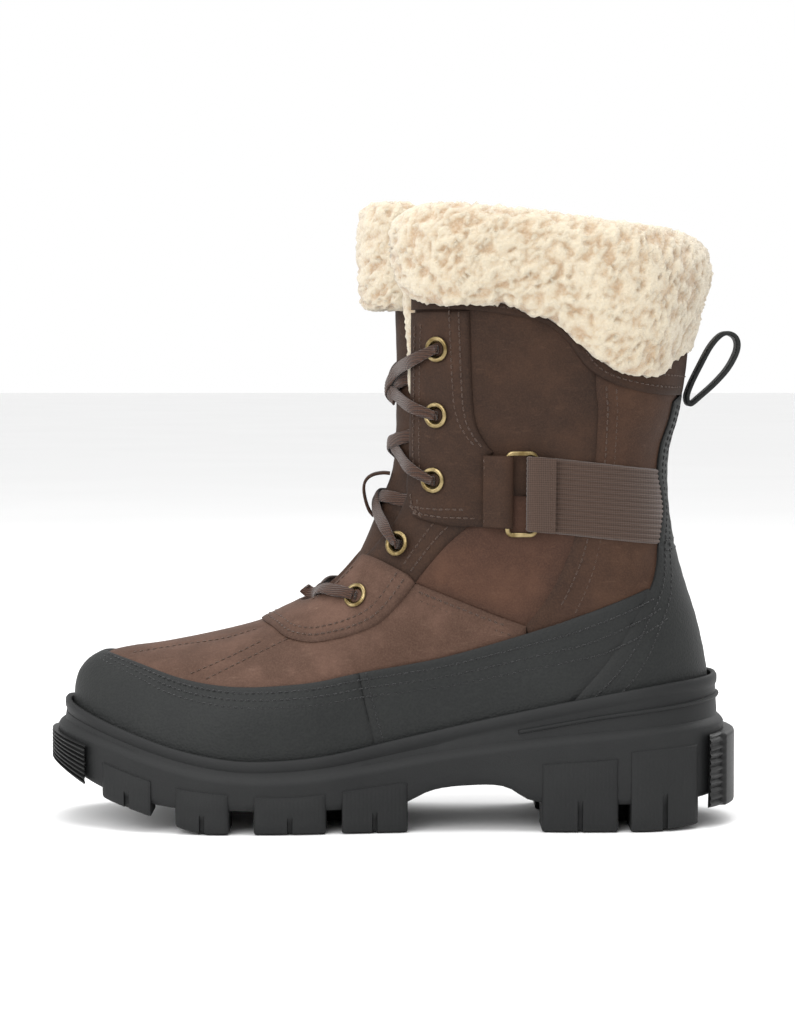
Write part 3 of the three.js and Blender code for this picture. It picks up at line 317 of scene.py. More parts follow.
class Finish:
    """A material and the nodes that make it."""

    def __init__(self, name, **shader):
        self.material = bpy.data.materials.new(name)
        self.material.use_nodes = True
        self.tree = self.material.node_tree
        self.shader = self.tree.nodes["Principled BSDF"]
        self.set(**shader)
        self.place = self.node("ShaderNodeTexCoord", output="Object")

    def node(self, kind, settings=None, inputs=None, output=0):
        made = self.tree.nodes.new(kind)
        for key, value in (settings or {}).items():
            setattr(made, key, value)
        for key, value in (inputs or {}).items():
            if isinstance(value, Field):
                self.tree.links.new(value.socket, made.inputs[key])
            else:
                made.inputs[key].default_value = value
        return Field(self, made.outputs[output])

    def set(self, **values):
        """Sockets of the shader, by name with _ for a space."""
        for key, value in values.items():
            socket = self.shader.inputs[key.replace("_", " ")]
            if isinstance(value, Field):
                self.tree.links.new(value.socket, socket)
            else:
                socket.default_value = value

    def noise(self, scale, detail=4, rough=0.55, stretch=None):
        place = self.place
        if stretch:
            place = self.node("ShaderNodeMapping", {"vector_type": "POINT"},
                              {"Vector": self.place, "Scale": stretch})
        return self.node("ShaderNodeTexNoise", None,
                         {"Vector": place, "Scale": scale, "Detail": detail, "Roughness": rough})

    def cells(self, scale, feature="F1"):
        return self.node("ShaderNodeTexVoronoi", {"feature": feature},
                         {"Vector": self.place, "Scale": scale}, "Distance")

    def attribute(self, name):
        return self.node("ShaderNodeAttribute", {"attribute_name": name}, None, "Fac")

    def blend(self, amount, low, high):
        return self.node("ShaderNodeMix", {"data_type": "RGBA"}, {0: amount, 6: low, 7: high}, 2)

    def relief(self, height, depth, strength=1.0):
        """Bumps of a height field, in metres of depth."""
        self.set(Normal=self.node("ShaderNodeBump", None,
                                  {"Strength": strength, "Distance": depth, "Height": height}))


def nubuck(name, dark, light, rub, gloss=0.62):
    """Oiled nubuck: cloudy colour that pales where it is rubbed, painted shade along the panel edges, a fine nap and
    soft creases.
    """
    finish = Finish(name, Specular_IOR_Level=0.2)
    clouds = finish.noise(38, 5, 0.6)
    patches = finish.noise(120, 4, 0.65)
    nap = finish.noise(1500, 3, 0.7)
    scuffs = finish.noise(260, 6, 0.75, (0.35, 1.0, 1.6))
    edge = finish.attribute("edge")
    tone = (clouds * 0.75 + patches * 0.35 - 0.1).between(0.3, 0.75)
    colour = finish.blend(tone, srgb(*dark), srgb(*light))
    colour = finish.blend(scuffs.between(0.56, 0.8) * 0.5 * edge, colour, srgb(*rub))
    # Painted shade: the colour darkens towards a deep brown along each panel's edge, where the edge attribute falls to
    # 0.
    colour = finish.blend((1 - edge) * 0.5, colour, tuple(c * 0.45 for c in srgb(*dark)[:3]) + (1.0,))
    colour = finish.blend(nap.between(0.35, 0.75) * 0.22, colour, srgb(*rub))
    finish.set(Base_Color=colour, Roughness=gloss + clouds * 0.2 - scuffs.between(0.5, 0.8) * 0.08)
    grain = finish.cells(1150)
    finish.relief(grain * 0.35 + nap * 0.5 + scuffs * 0.5 + clouds * 0.6, 0.0004, 0.55)
    return finish.material


def coated(name, colour, light, gloss=0.5):
    """Coated leather: an even dark film over a pebbled grain, with painted shade along the panel edges."""
    finish = Finish(name, Specular_IOR_Level=0.22)
    pebbles = finish.cells(1000)
    clouds = finish.noise(45, 4)
    edge = finish.attribute("edge")
    tone = (clouds * 0.5 + pebbles * 0.5).between(0.15, 0.85)
    base = finish.blend(tone, srgb(*colour), srgb(*light))
    # Painted shade: the black darkens further along each panel's edge, where the edge attribute falls to 0.
    base = finish.blend((1 - edge) * 0.4, base, (0.012, 0.012, 0.012, 1.0))
    finish.set(Base_Color=base, Roughness=gloss + clouds * 0.12 + pebbles * 0.08)
    finish.relief(pebbles * 0.8 + finish.noise(2200, 2) * 0.3, 0.0003, 0.6)
    return finish.material


def moulded(name, colour, light, gloss=0.55, lined=False):
    """Moulded rubber: a fine spark-eroded texture with a dusty bloom; lug pads carry fine upright lines."""
    finish = Finish(name, Specular_IOR_Level=0.24)
    fine = finish.noise(1700, 3, 0.7)
    clouds = finish.noise(30, 5)
    base = finish.blend((clouds * 0.6 + fine * 0.4).between(0.25, 0.8), srgb(*colour), srgb(*light))
    finish.set(Base_Color=base, Roughness=gloss + clouds * 0.14)
    height = fine * 0.6
    if lined:
        lines = finish.node("ShaderNodeTexWave", {"bands_direction": "X", "wave_profile": "SIN"},
                            {"Vector": finish.place, "Scale": 190.0, "Distortion": 0.4})
        height = height + lines * 0.35
    finish.relief(height, 0.00022, 0.5)
    return finish.material


def sheepskin(name="sheepskin"):
    """Curly pile: painted shade, warm and darker, in the hollows between the curls, and pale tips."""
    finish = Finish(name, Roughness=0.95, Specular_IOR_Level=0.12, Sheen_Weight=0.35, Sheen_Roughness=0.7)
    tips = finish.attribute("curl")
    fluff = finish.noise(900, 4, 0.75)
    clouds = finish.noise(60, 4)
    # Painted shade: the pile takes the darker warm colour where the curl attribute is low, in the hollows between
    # curls, and the pale colour at the tips.
    colour = finish.blend(tips.between(0.05, 0.75), srgb(216, 178, 132), srgb(253, 236, 204))
    colour = finish.blend(fluff.between(0.35, 0.7) * 0.35, colour, srgb(255, 247, 230))
    colour = finish.blend(clouds.between(0.55, 0.8) * 0.25, colour, srgb(233, 206, 168))
    finish.set(Base_Color=colour)
    finish.relief(fluff * 1.0 + finish.cells(620) * 0.8, 0.0008, 0.8)
    return finish.material


def woven(name, dark, light, scale, direction="DIAGONAL", depth=0.00035):
    """Woven or braided yarn: crossing threads, a little fuzz."""
    finish = Finish(name, Roughness=0.85, Specular_IOR_Level=0.2, Sheen_Weight=0.2)
    one = finish.node("ShaderNodeTexWave", {"bands_direction": direction},
                      {"Vector": finish.place, "Scale": scale, "Distortion": 1.2, "Detail": 1.0})
    two = finish.node("ShaderNodeTexWave", {"bands_direction": "Z"},
                      {"Vector": finish.place, "Scale": scale, "Distortion": 1.0, "Detail": 1.0})
    fuzz = finish.noise(2400, 3, 0.7)
    threads = one * 0.5 + two * 0.5
    colour = finish.blend((threads * 0.7 + fuzz * 0.4).between(0.15, 0.9), srgb(*dark), srgb(*light))
    finish.set(Base_Color=colour)
    finish.relief(threads + fuzz * 0.4, depth, 0.8)
    return finish.material


def metal(name, dark, light, gloss):
    """Cast and tumbled metal: even colour with a cloudy tone that varies at random, and fine handling marks."""
    finish = Finish(name, Metallic=1.0)
    clouds = finish.noise(240, 4)
    marks = finish.noise(1400, 3, 0.6, (1.0, 1.0, 0.25))
    finish.set(Base_Color=finish.blend(clouds.between(0.3, 0.7), srgb(*dark), srgb(*light)),
               Roughness=gloss + marks * 0.16)
    finish.relief(marks, 0.00006, 0.4)
    return finish.material


def plain(name, dark, light, scale=400, gloss=0.85):
    """Foam, felt and board that a wearer seldom sees."""
    finish = Finish(name, Specular_IOR_Level=0.2)
    speckle = finish.noise(scale, 4, 0.7)
    finish.set(Base_Color=finish.blend(speckle.between(0.3, 0.7), srgb(*dark), srgb(*light)),
               Roughness=gloss + speckle * 0.1)
    finish.relief(speckle, 0.0004, 0.5)
    return finish.material


SHAFT_LEATHER = nubuck("shaft_nubuck", (53, 34, 23), (80, 55, 40), (112, 82, 62))
QUARTER_LEATHER = nubuck("quarter_nubuck", (78, 50, 37), (108, 75, 58), (138, 102, 80))
BACK_LEATHER = nubuck("back_nubuck", (64, 41, 28), (92, 64, 47), (126, 94, 74))
VAMP_LEATHER = nubuck("vamp_nubuck", (88, 62, 49), (124, 93, 79), (156, 124, 104))
BLACK_LEATHER = coated("black_leather", (32, 34, 34), (47, 49, 48))
RUBBER = moulded("sole_rubber", (31, 32, 33), (45, 46, 46))
PAD_RUBBER = moulded("lug_rubber", (31, 32, 33), (45, 46, 46), 0.6, lined=True)
BUMPER_RUBBER = moulded("bumper_rubber", (25, 26, 26), (40, 40, 40), 0.42)
FLEECE = sheepskin()
BROWN_THREAD = woven("brown_thread", (58, 38, 28), (112, 82, 62), 900)
BLACK_THREAD = woven("black_thread", (16, 16, 17), (46, 46, 48), 900)
LACE_CLOTH = woven("lace_braid", (44, 26, 18), (92, 60, 42), 420)
WEBBING_CLOTH = woven("webbing_weave", (60, 44, 36), (108, 86, 74), 420, "X", 0.00012)
BRASS = metal("brass", (132, 112, 72), (206, 184, 136), 0.26)
STEEL = metal("steel", (120, 124, 130), (160, 164, 168), 0.35)
FOAM = plain("foam", (92, 92, 90), (120, 120, 116))
BOARD = plain("fibre_board", (150, 128, 94), (186, 164, 124), 700)


# ---- Making meshes --------------------------------------------------------------------------------------------
def piece(name, points, faces, material, slot, body, replaced=(), smooth_angle=None, fields=None):
    """A piece of the boot from points in millimetres."""
    mesh = bpy.data.meshes.new(name)
    mesh.from_pydata((np.asarray(points) * MM).tolist(), [], [list(map(int, f)) for f in faces])
    mesh.validate()
    for key, values in (fields or {}).items():
        mesh.attributes.new(key, "FLOAT", "POINT").data.foreach_set("value", np.asarray(values, np.float32))
    obj = bpy.data.objects.new(f"{name}_finished", mesh)
    bpy.context.collection.objects.link(obj)
    form = bmesh.new()
    form.from_mesh(mesh)
    bmesh.ops.recalc_face_normals(form, faces=form.faces)
    form.to_mesh(mesh)
    form.free()
    mesh.materials.append(material)
    mesh.polygons.foreach_set("use_smooth", [True] * len(mesh.polygons))
    if smooth_angle:
        mesh.set_sharp_from_angle(angle=math.radians(smooth_angle))
    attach(obj, body)
    if replaced:
        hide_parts(*replaced)
    return obj


def quads(rows, columns, wrap_rows=False, wrap_columns=False):
    """Faces of a grid of points, row by row."""
    faces = []
    for i in range(rows if wrap_rows else rows - 1):
        for j in range(columns if wrap_columns else columns - 1):
            a, b = i * columns + j, i * columns + (j + 1) % columns
            c, d = ((i + 1) % rows) * columns + (j + 1) % columns, ((i + 1) % rows) * columns + j
            faces.append((a, b, c, d))
    return faces


def tube_faces(rows, columns, closed=False):
    """Faces of a row of rings, capped at both ends unless it closes on itself."""
    faces = quads(rows, columns, wrap_rows=closed, wrap_columns=True)
    if not closed:
        faces.append(tuple(range(columns)))
        faces.append(tuple((rows - 1) * columns + k for k in range(columns)))
    return faces


def joined(*meshes):
    """Several (points, faces) as one."""
    points, faces, start = [], [], 0
    for p, f in meshes:
        points.append(np.asarray(p).reshape(-1, 3))
        faces += [tuple(k + start for k in face) for face in f]
        start += len(points[-1])
    return np.vstack(points), faces


def inside(polygon, points):
    """Which points lie in a closed polygon."""
    x, y = points[:, 0][:, None], points[:, 1][:, None]
    a, b = polygon, np.roll(polygon, -1, axis=0)
    crosses = (a[:, 1] > y) != (b[:, 1] > y)
    with np.errstate(divide="ignore", invalid="ignore"):
        at = (b[:, 0] - a[:, 0]) * (y - a[:, 1]) / (b[:, 1] - a[:, 1]) + a[:, 0]
    return (np.sum(crosses & (x < at), axis=1) % 2) == 1


def distance(line, points, closed=True, left_out=None):
    """How far each point is from a polyline, or from the part of it that isn't left out."""
    a = line if closed else line[:-1]
    b = np.roll(line, -1, axis=0) if closed else line[1:]
    if left_out is not None:
        a, b = a[~left_out], b[~left_out]
    best = np.full(len(points), 1e9)
    for p, q in zip(a, b):
        span = q - p
        t = np.clip(((points - p) @ span) / (span @ span + 1e-9), 0, 1)
        best = np.minimum(best, np.linalg.norm(points - p - t[:, None] * span, axis=1))
    return best


GRID = 2.6


def panel(name, outline, inner, outer, material, slot, replaced=(), roll=0.55, fullness=0.35, seams=(),
          body="boot_body"):
    """A sewn panel: cut to its outline on the flat pattern, its edges rolled, its middle slightly full and
    its stitched lines pulled in."""
    edge = evenly(outline, 1.5, closed=True)
    area = np.sum(edge[:, 0] * np.roll(edge[:, 1], -1) - edge[:, 1] * np.roll(edge[:, 0], -1))
    if area < 0:
        edge = edge[::-1]
    (u0, w0), (u1, w1) = edge.min(0), edge.max(0)
    us, ws = np.arange(u0, u1, GRID), np.arange(w0, w1, GRID)
    grid = np.array([(u, w + (i % 2) * GRID / 2) for i, u in enumerate(us) for w in ws])
    grid = grid[inside(edge, grid)]
    grid = grid[distance(edge, grid) > 2.0]
    t = np.roll(edge, -1, axis=0) - np.roll(edge, 1, axis=0)
    t /= np.linalg.norm(t, axis=1, keepdims=True) + 1e-9
    inward = np.stack([-t[:, 1], t[:, 0]], 1)
    rings = []
    for by in (0.5, 1.2):
        candidate = edge + inward * by
        rings.append(candidate[inside(edge, candidate) & (distance(edge, candidate) > by * 0.8)])
    extra = np.vstack([*rings, grid])
    for line in seams:
        rows = np.vstack([shifted(evenly(line, 1.6), by) for by in (-0.8, 0, 0.8)])
        rows = rows[inside(edge, rows)]
        rows = rows[distance(edge, rows) > 0.9]
        extra = extra[distance(line, extra, closed=False) > 1.3]
        extra = np.vstack([extra, rows])
    points = np.vstack([edge, extra])
    found = delaunay_2d_cdt([Vector(p) for p in points.tolist()], [], [list(range(len(edge)))], 1, 1e-5)
    flat = np.array([tuple(p) for p in found[0]])
    faces = [tuple(f) for f in found[2]]
    at_tip = (edge[:, 0] < 0.5) & (np.roll(edge[:, 0], -1) < 0.5)
    apart = distance(edge, flat, left_out=at_tip)
    height = outer - roll * (1 - np.sqrt(1 - (1 - np.clip(apart / 1.3, 0, 1)) ** 2)) + fullness * smooth(apart / 9)
    for line in seams:
        height = height - 0.42 * np.exp(-(distance(line, flat, closed=False) / 0.75) ** 2)
    height = height + 0.18 * np.array([texture.noise(Vector((p[0] * 0.045, p[1] * 0.045, outer))) for p in flat])
    top, under = on_last(flat, height), on_last(flat, inner)
    count = len(flat)
    rim = {}
    for f in faces:
        for a, b in zip(f, f[1:] + f[:1]):
            rim[(a, b)] = rim.get((b, a), 0) == 0 and (b, a) not in rim
            if (b, a) in rim:
                rim.pop((a, b))
                rim.pop((b, a))
    sides = [(b, a, a + count, b + count) for a, b in rim]
    under_faces = [tuple(k + count for k in reversed(f)) for f in faces]
    # The edge attribute: 0 at the cut edge and on the underside, 1 from 3.2 mm in; the leathers paint shade where it is
    # low and keep their scuffs away from there.
    shade = np.clip(apart / 3.2, 0, 1)
    return piece(name, np.vstack([top, under]), faces + sides + under_faces, material, slot, body,
                 replaced, 50, {"edge": np.concatenate([shade, shade * 0])})


def both(name, outline, *arguments, replaced=None, seams=(), **options):
    """A panel and its twin on the inner side of the boot."""
    old = replaced or name
    panel(f"{name}_outer", outline, *arguments, replaced=(f"{old}_outer",), seams=seams, **options)
    panel(f"{name}_inner", front_twin(outline), *arguments, replaced=(f"{old}_inner",),
          seams=[front_twin(line) for line in seams], **options)


STITCH = None


def stitch_shape():
    """One stitch, lying along X: a short plump thread that dives into the leather at both ends."""
    rings = []
    for x, r, drop in [(-1.05, 0.1, 0.45), (-0.85, 0.27, 0.12), (-0.35, 0.34, 0), (0.35, 0.34, 0),
                       (0.85, 0.27, 0.12), (1.05, 0.1, 0.45)]:
        angles = np.arange(5) / 5 * 2 * math.pi
        rings.append(np.stack([np.full(5, x), r * np.cos(angles), r * np.sin(angles) - drop], 1))
    return np.vstack(rings), tube_faces(len(rings), 5)


STITCH = stitch_shape()
SEWN = {}


def sew(thread, line, offset, pitch=2.75, twin=front_twin):
    """A row of stitches along a line of the flat pattern, on both sides of the boot."""
    for row in (line, twin(line)):
        dense = evenly(row, 0.5)
        path = on_last(dense, offset)
        reach = np.concatenate([[0], np.cumsum(np.linalg.norm(np.diff(path, axis=0), axis=1))])
        spots = np.arange(pitch / 2, reach[-1], pitch)
        at = np.stack([np.interp(spots, reach, path[:, k]) for k in range(3)], 1)
        ahead = np.stack([np.interp(spots + 0.8, reach, path[:, k]) for k in range(3)], 1)
        back = np.stack([np.interp(spots - 0.8, reach, path[:, k]) for k in range(3)], 1)
        flat = np.stack([np.interp(spots, reach, dense[:, k]) for k in range(2)], 1)
        out = normals(flat[:, 0] / ALONG, flat[:, 1] / ACROSS, offset)
        way = ahead - back
        way /= np.linalg.norm(way, axis=1, keepdims=True) + 1e-9
        across = np.cross(out, way)
        across /= np.linalg.norm(across, axis=1, keepdims=True) + 1e-9
        for p, x, y, z in zip(at, way, across, np.cross(way, across)):
            shape = STITCH[0] @ np.array([x, y, z]) + p + z * 0.08
            SEWN.setdefault(thread.name, (thread, []))[1].append((shape, STITCH[1]))


def finish_stitching():
    """Each thread's stitches become one piece, named after its thread."""
    for name, (thread, stitches) in SEWN.items():
        points, faces = joined(*stitches)
        slot = "black_leather" if thread is BLACK_THREAD else "brown_leather"
        piece(f"stitching_{name}", points, faces, thread, slot, "boot_body")


# ---- Leather panels ---------------------------------------------------------------------------------------------
UNDER = -LEATHER
SKIN = (UNDER, 0.0)
FACED = (GAP, GAP + OVERLAY)
P = pattern_of


def over_front(path):
    """A path that starts and ends on the front line, and its twin, as one outline."""
    return np.vstack([path, front_twin(path)[::-1]])


def over_back(path):
    return np.vstack([path, back_twin(path)[::-1]])


def upper_panels():
    throat_low = THROAT[THROAT[:, 1] < 112]
    throat_facing = THROAT[(THROAT[:, 1] > 112.5) & (THROAT[:, 1] < 137.5)]
    throat_shaft = THROAT[THROAT[:, 1] > 138.5]
    low_edge = RAND_TOP[RAND_TOP[:, 0] < -42][::-1] - [0, 6]
    low_edge[-1] = RAND_TOP[0] - [0.6, 3]
    facing_top = np.array([[-61.4, 138], [-62.4, 126]])
    moc_lines = [run(p) for p in (
        [[-203.7, 69.7], [-183.5, 73.1], [-164.6, 76.4], [-147.8, 81.5]],
        [[-178.1, 63], [-162.5, 69.7], [-149.1, 76]],
        [[-171.4, 61.3], [-154.1, 69.7], [-137.3, 77.7]])]
    moc = [P(line) for line in moc_lines]
    vamp = P(np.vstack([throat_low, HIDDEN_VAMP_EDGE, VAMP_SEAM[1:], [[-39.4, 76]], low_edge]))
    vamp[0, 1] = vamp[-1, 1] = 0
    panel("vamp", over_front(vamp), *SKIN, VAMP_LEATHER, "tan_leather", ("vamp",), fullness=0.9,
          seams=moc + [front_twin(line) for line in moc])
    both("quarter_facing", P(np.vstack([throat_facing, [[-88.6, 138]], facing_top, FACING_SEAM[1:],
                                        HIDDEN_VAMP_EDGE[::-1][1:]])), *SKIN, SHAFT_LEATHER, "brown_leather")
    both("quarter", P(np.vstack([facing_top, FACING_SEAM[1:], VAMP_SEAM[1:], DIAGONAL_SEAM[::-1][1:],
                                 [[-30, 138], [-46, 138]]])), *SKIN, QUARTER_LEATHER, "brown_leather", fullness=0.8)
    both("shaft_panel", P(np.vstack([[[-88.2, 138]], throat_shaft, [[-85.4, 225], [-85.4, 234], [-48, 234]],
                                     REAR_SEAM, [[-40, 138], [-64, 138]]])), *SKIN, SHAFT_LEATHER, "brown_leather")
    at_back = lambda z: np.array([[30.0 + 0.05 * (z - 100), z]])
    back = P(np.vstack([REAR_SEAM, DIAGONAL_SEAM[1:], [[-38.8, 62]], [[-10, 60]], [[38, 60]], [[38, 90]],
                        [[38, 120]], [[38, 160]], [[38, 200]], [[38, 234]], [[8, 234]]]))
    both("back_quarter", back, *SKIN, BACK_LEATHER, "tan_leather", fullness=0.6)

    overlay = P(np.vstack([OVERLAY_EDGE, OVERLAY_BACK[1:], throat_low[::-1]]))
    overlay[0, 1] = overlay[-1, 1] = 0
    panel("throat_overlay", over_front(overlay), *FACED, VAMP_LEATHER, "tan_leather", ("throat_overlay",))
    bottom = above_bed(np.linspace(-99.4, -221, 24))
    toe = P(np.vstack([RAND_TOP[RAND_TOP[:, 0] < -108], RAND_SEAM, bottom]))
    toe[0, 1] = 0
    tip = np.array([[0.0, 44], [0.0, 30], [0.0, 15]])
    toe = np.vstack([toe, tip])
    panel("toe_rand", np.vstack([toe, [[0.0, 0.0]], front_twin(toe)[::-1]]), *FACED, BLACK_LEATHER, "black_leather",
          ("toe_rand",))
    side_top = RAND_TOP[(RAND_TOP[:, 0] > -107) & (RAND_TOP[:, 0] < 10.5)][::-1]
    counter_low = COUNTER_EDGE[COUNTER_EDGE[:, 1] < 98.5]
    both("side_rand", P(np.vstack([RAND_SEAM, above_bed(np.linspace(-94, -26, 14)), counter_low, side_top])), *FACED,
         BLACK_LEATHER, "black_leather")
    counter = P(np.vstack([above_bed(np.array([36.0, 24, 10, -4, -16, -26])), COUNTER_EDGE, [[40, 176.6]]]))
    counter[0, 1] = counter[-1, 1] = ACROSS
    panel("heel_counter", over_back(counter), *FACED, BLACK_LEATHER, "black_leather", ("heel_counter",),
          seams=[P(run([[15.5, 116.3], [24, 116.6], [38, 117]]))])
    collar = P(np.vstack([[[40, 234]], [[10, 234]], [[-40, 234]], [[-85.4, 234]], COLLAR_EDGE, [[40, 178.4]]]))
    collar[0, 1] = collar[-1, 1] = ACROSS
    panel("collar_band", over_back(collar), *FACED, SHAFT_LEATHER, "brown_leather", ("collar_band",))
    throat_stay = THROAT[(THROAT[:, 1] > 145.5) & (THROAT[:, 1] < 213)]
    stay = np.vstack([EYESTAY_BOTTOM, [[-53.8, 124.7], [-53.8, 154.9]], EYESTAY_REAR[1:], throat_stay[::-1]])
    both("eyestay", P(stay), *FACED, SHAFT_LEATHER, "brown_leather")


strap_height = through([[-57, 139.6], [-43, 139.2], [-15, 136.4], [17, 132.4]])
WEBBING_WIDTH, RING_X = 31.0, -41.6
OVER_RING = 5.15


def strap_point(x, across, offset, way):
    """A point on the strap's line, `across` millimetres up from its middle."""
    x, across, offset = np.broadcast_arrays(x, across, offset)
    at = locate(np.stack([x, strap_height(x) + across], -1))
    return surface(at[..., 0], -way * at[..., 1], offset)


def ribbon(path, width, thickness, place, columns, edge_radius=0.5):
    """A closed strip: `place(point, across, lift)` puts the points of its section at each path point."""
    half = width / 2
    across = np.concatenate([[-half, -half + 0.25], np.linspace(-half + edge_radius, half - edge_radius, columns),
                             [half - 0.25, half]])
    lift = np.concatenate([[0, 0.75], np.ones(columns), [0.75, 0]]) * thickness / 2
    ring_across = np.concatenate([across, across[::-1][1:-1]])
    ring_lift = np.concatenate([lift, -lift[::-1][1:-1]])
    return np.stack([place(k, ring_across, ring_lift) for k in path]), len(ring_across)


def folded_strip(name, stations, width, thickness, material, slot, old, way, texture_ribs=0.0):
    """A ply folded back over the ring: stations are (x, offset) along its middle line."""
    stations = evenly(spline(np.array(stations, float), np.linspace(0, 1, 80)), 0.6)
    tangent = np.gradient(stations, axis=0)
    tangent /= np.linalg.norm(tangent, axis=1, keepdims=True)
    normal = np.stack([-tangent[:, 1], tangent[:, 0]], 1)

    def place(k, across, lift):
        ribs = texture_ribs * (np.cos(across * 2 * math.pi / 2.07) + 0.5 * math.cos(k * 0.6 * 2 * math.pi / 1.6))
        x = stations[k, 0] + normal[k, 0] * (lift + np.sign(lift) * ribs)
        offset = stations[k, 1] + normal[k, 1] * (lift + np.sign(lift) * ribs)
        return strap_point(x, across, offset, way)
    points, ring = ribbon(range(len(stations)), width, thickness, place, 60)
    count = len(points)
    return points.reshape(-1, 3), tube_faces(count, ring), count * ring


def strap(way, side):
    """The eyestay's folded tab, the brass ring and the webbing on one side."""
    tab = folded_strip("tab", [(-56, 1.2), (-48, 1.3), (-46, 1.6), (-44.9, 3.6), (-46, 5.4), (-48.5, 5.9), (-52, 4.4),
                               (-55.6, 3.0)], WEBBING_WIDTH - 1, 1.6, None, None, None, way)
    piece(f"ring_tab_{side}", tab[0], tab[1], SHAFT_LEATHER, "brown_leather", "boot_body", (), 60,
          {"edge": np.ones(tab[2])})
    fold = folded_strip("fold", [(-28, 1.5), (-35, 1.6), (-37.2, 1.9), (-38.3, 3.7), (-37.2, 5.5), (-34.5, 5.9),
                                 (-31, 4.6), (-28, 3.6)], WEBBING_WIDTH, 1.5, None, None, None, way, 0.12)
    xs = np.linspace(-28.5, 17.5, 70)
    rows = np.linspace(-WEBBING_WIDTH / 2, WEBBING_WIDTH / 2, 106)
    end = np.interp(strap_height(14) + rows, COUNTER_EDGE[:, 1], COUNTER_EDGE[:, 0]) - 0.35
    grid_x = -28.5 + (xs + 28.5)[:, None] / 46 * (end + 28.5)[None, :]
    ribs = 0.34 * np.cos(rows * 2 * math.pi / 2.07)[None, :] + 0.05 * np.cos(grid_x * 2 * math.pi / 1.3)
    selvedge = 0.9 * (1 - np.clip((WEBBING_WIDTH / 2 - np.abs(rows)) / 0.8, 0, 1) ** 0.5)[None, :]
    top = strap_point(grid_x, rows[None, :], 1.75 + ribs - selvedge, way)
    under = strap_point(grid_x, rows[None, :], GAP + 0 * grid_x, way)
    n, m = grid_x.shape
    faces = quads(n, m)
    border = [j for j in range(m)] + [i * m + m - 1 for i in range(1, n)]
    border += [(n - 1) * m + j for j in range(m - 2, -1, -1)] + [i * m for i in range(n - 2, 0, -1)]
    rim = [(a, b, b + n * m, a + n * m) for a, b in zip(border, border[1:] + border[:1])]
    band = (np.concatenate([top.reshape(-1, 3), under.reshape(-1, 3)]),
            faces + rim + [tuple(k + n * m for k in reversed(f)) for f in faces])
    points, faces = joined(band, fold[:2])
    piece(f"webbing_strap_{side}", points, faces, WEBBING_CLOTH, "webbing", "boot_body",
          (f"webbing_strap_{side}",), 50)
    frame_at, along, up, out = seat(RING_X, strap_height(RING_X), way)
    w, h, r = 13.5 / 2 - 1, (WEBBING_WIDTH + 4.7) / 2 - 1, 2.2
    path = []
    for cx, cy, start in [(w - r, h - r, 0), (-w + r, h - r, 90), (-w + r, -h + r, 180), (w - r, -h + r, 270)]:
        path += [(cx + r * math.cos(math.radians(start + a)), cy + r * math.sin(math.radians(start + a)))
                 for a in range(0, 91, 15)]
    path = evenly(np.array(path), 1.2, closed=True)
    t = np.roll(path, -1, axis=0) - np.roll(path, 1, axis=0)
    t /= np.linalg.norm(t, axis=1, keepdims=True)
    angles = np.arange(14) / 14 * 2 * math.pi
    ca, sa = np.cos(angles), np.sin(angles)
    section = np.stack([np.sign(ca) * np.abs(ca) ** 0.75, np.sign(sa) * np.abs(sa) ** 0.75 * 0.85], 1)
    rings = [frame_at + out * (3.6 + section[:, 1:2]) + along * (p[0] + q[1] * section[:, :1])
             + up * (p[1] - q[0] * section[:, :1]) for p, q in zip(path, t)]
    piece(f"strap_ring_{side}", np.vstack(rings), tube_faces(len(rings), 14, closed=True), BRASS, "brass",
          "boot_body", (f"strap_ring_{side}",))


def seat(x, z, way):
    """A point on the leather and its directions: along the boot, up it and out of it."""
    place = lambda a, b: strapless(np.array([[a, b]]), way)[0]
    dx, dz = place(x + 0.6, z) - place(x - 0.6, z), place(x, z + 0.6) - place(x, z - 0.6)
    out = np.cross(dz, dx)
    out /= np.linalg.norm(out)
    out *= math.copysign(1, out[1] * way)
    along = dx / np.linalg.norm(dx)
    up = np.cross(out, along)
    up *= math.copysign(1, up[2])
    return place(x, z), along, up, out


def strapless(points, way):
    at = locate(points)
    return surface(at[..., 0], -way * at[..., 1], 0.0)


def lifted(x, z, way, by):
    at, _, _, out = seat(x, z, way)
    return at + out * by


# ---- Eyelets ------------------------------------------------------------------------------------------------------
def eyelets():
    """Rolled brass flanges over short barrels."""
    roll = [(4.35 + 0.95 * math.cos(a), 2.95 + 0.62 * math.sin(a)) for a in np.linspace(-0.5 * math.pi, math.pi * 0.92, 12)]
    profile = np.array([(2.35, -2.2), (2.75, -2.2), (2.9, 2.4), (4.2, 2.4)] + roll + [(2.95, 2.7), (2.5, 2.0), (2.35, 0.5)])
    turns = 40
    a = np.arange(turns) / turns * 2 * math.pi
    for k, (x, z) in enumerate(EYELETS):
        for way, side in ((-1, "outer"), (1, "inner")):
            at, along, up, out = seat(x, z, way)
            points = np.stack([at + out * (h * 1.0 + 0.25) + (along * np.cos(a)[:, None] + up * np.sin(a)[:, None]) * r
                               for r, h in profile])
            piece(f"eyelet_{side}_{k + 1}", points.reshape(-1, 3), quads(len(profile), turns, True, True), BRASS,
                  "brass", "boot_body", (f"eyelet_{side}_{k + 1}",))


# ---- Tongue, its pad and its sheepskin top ------------------------------------------------------------------------
TONGUE_FROM, TONGUE_TO = 0.315, 0.955
tongue_half = lambda s: mix(12, 23, smooth((s - TONGUE_FROM) / 0.22))
tongue_rise = lambda s: mix(-4.3, 1.2, smooth((s - TONGUE_FROM) / 0.2))


def front_point(s):
    return spline(RIBS[:, :2], np.asarray(s, float))


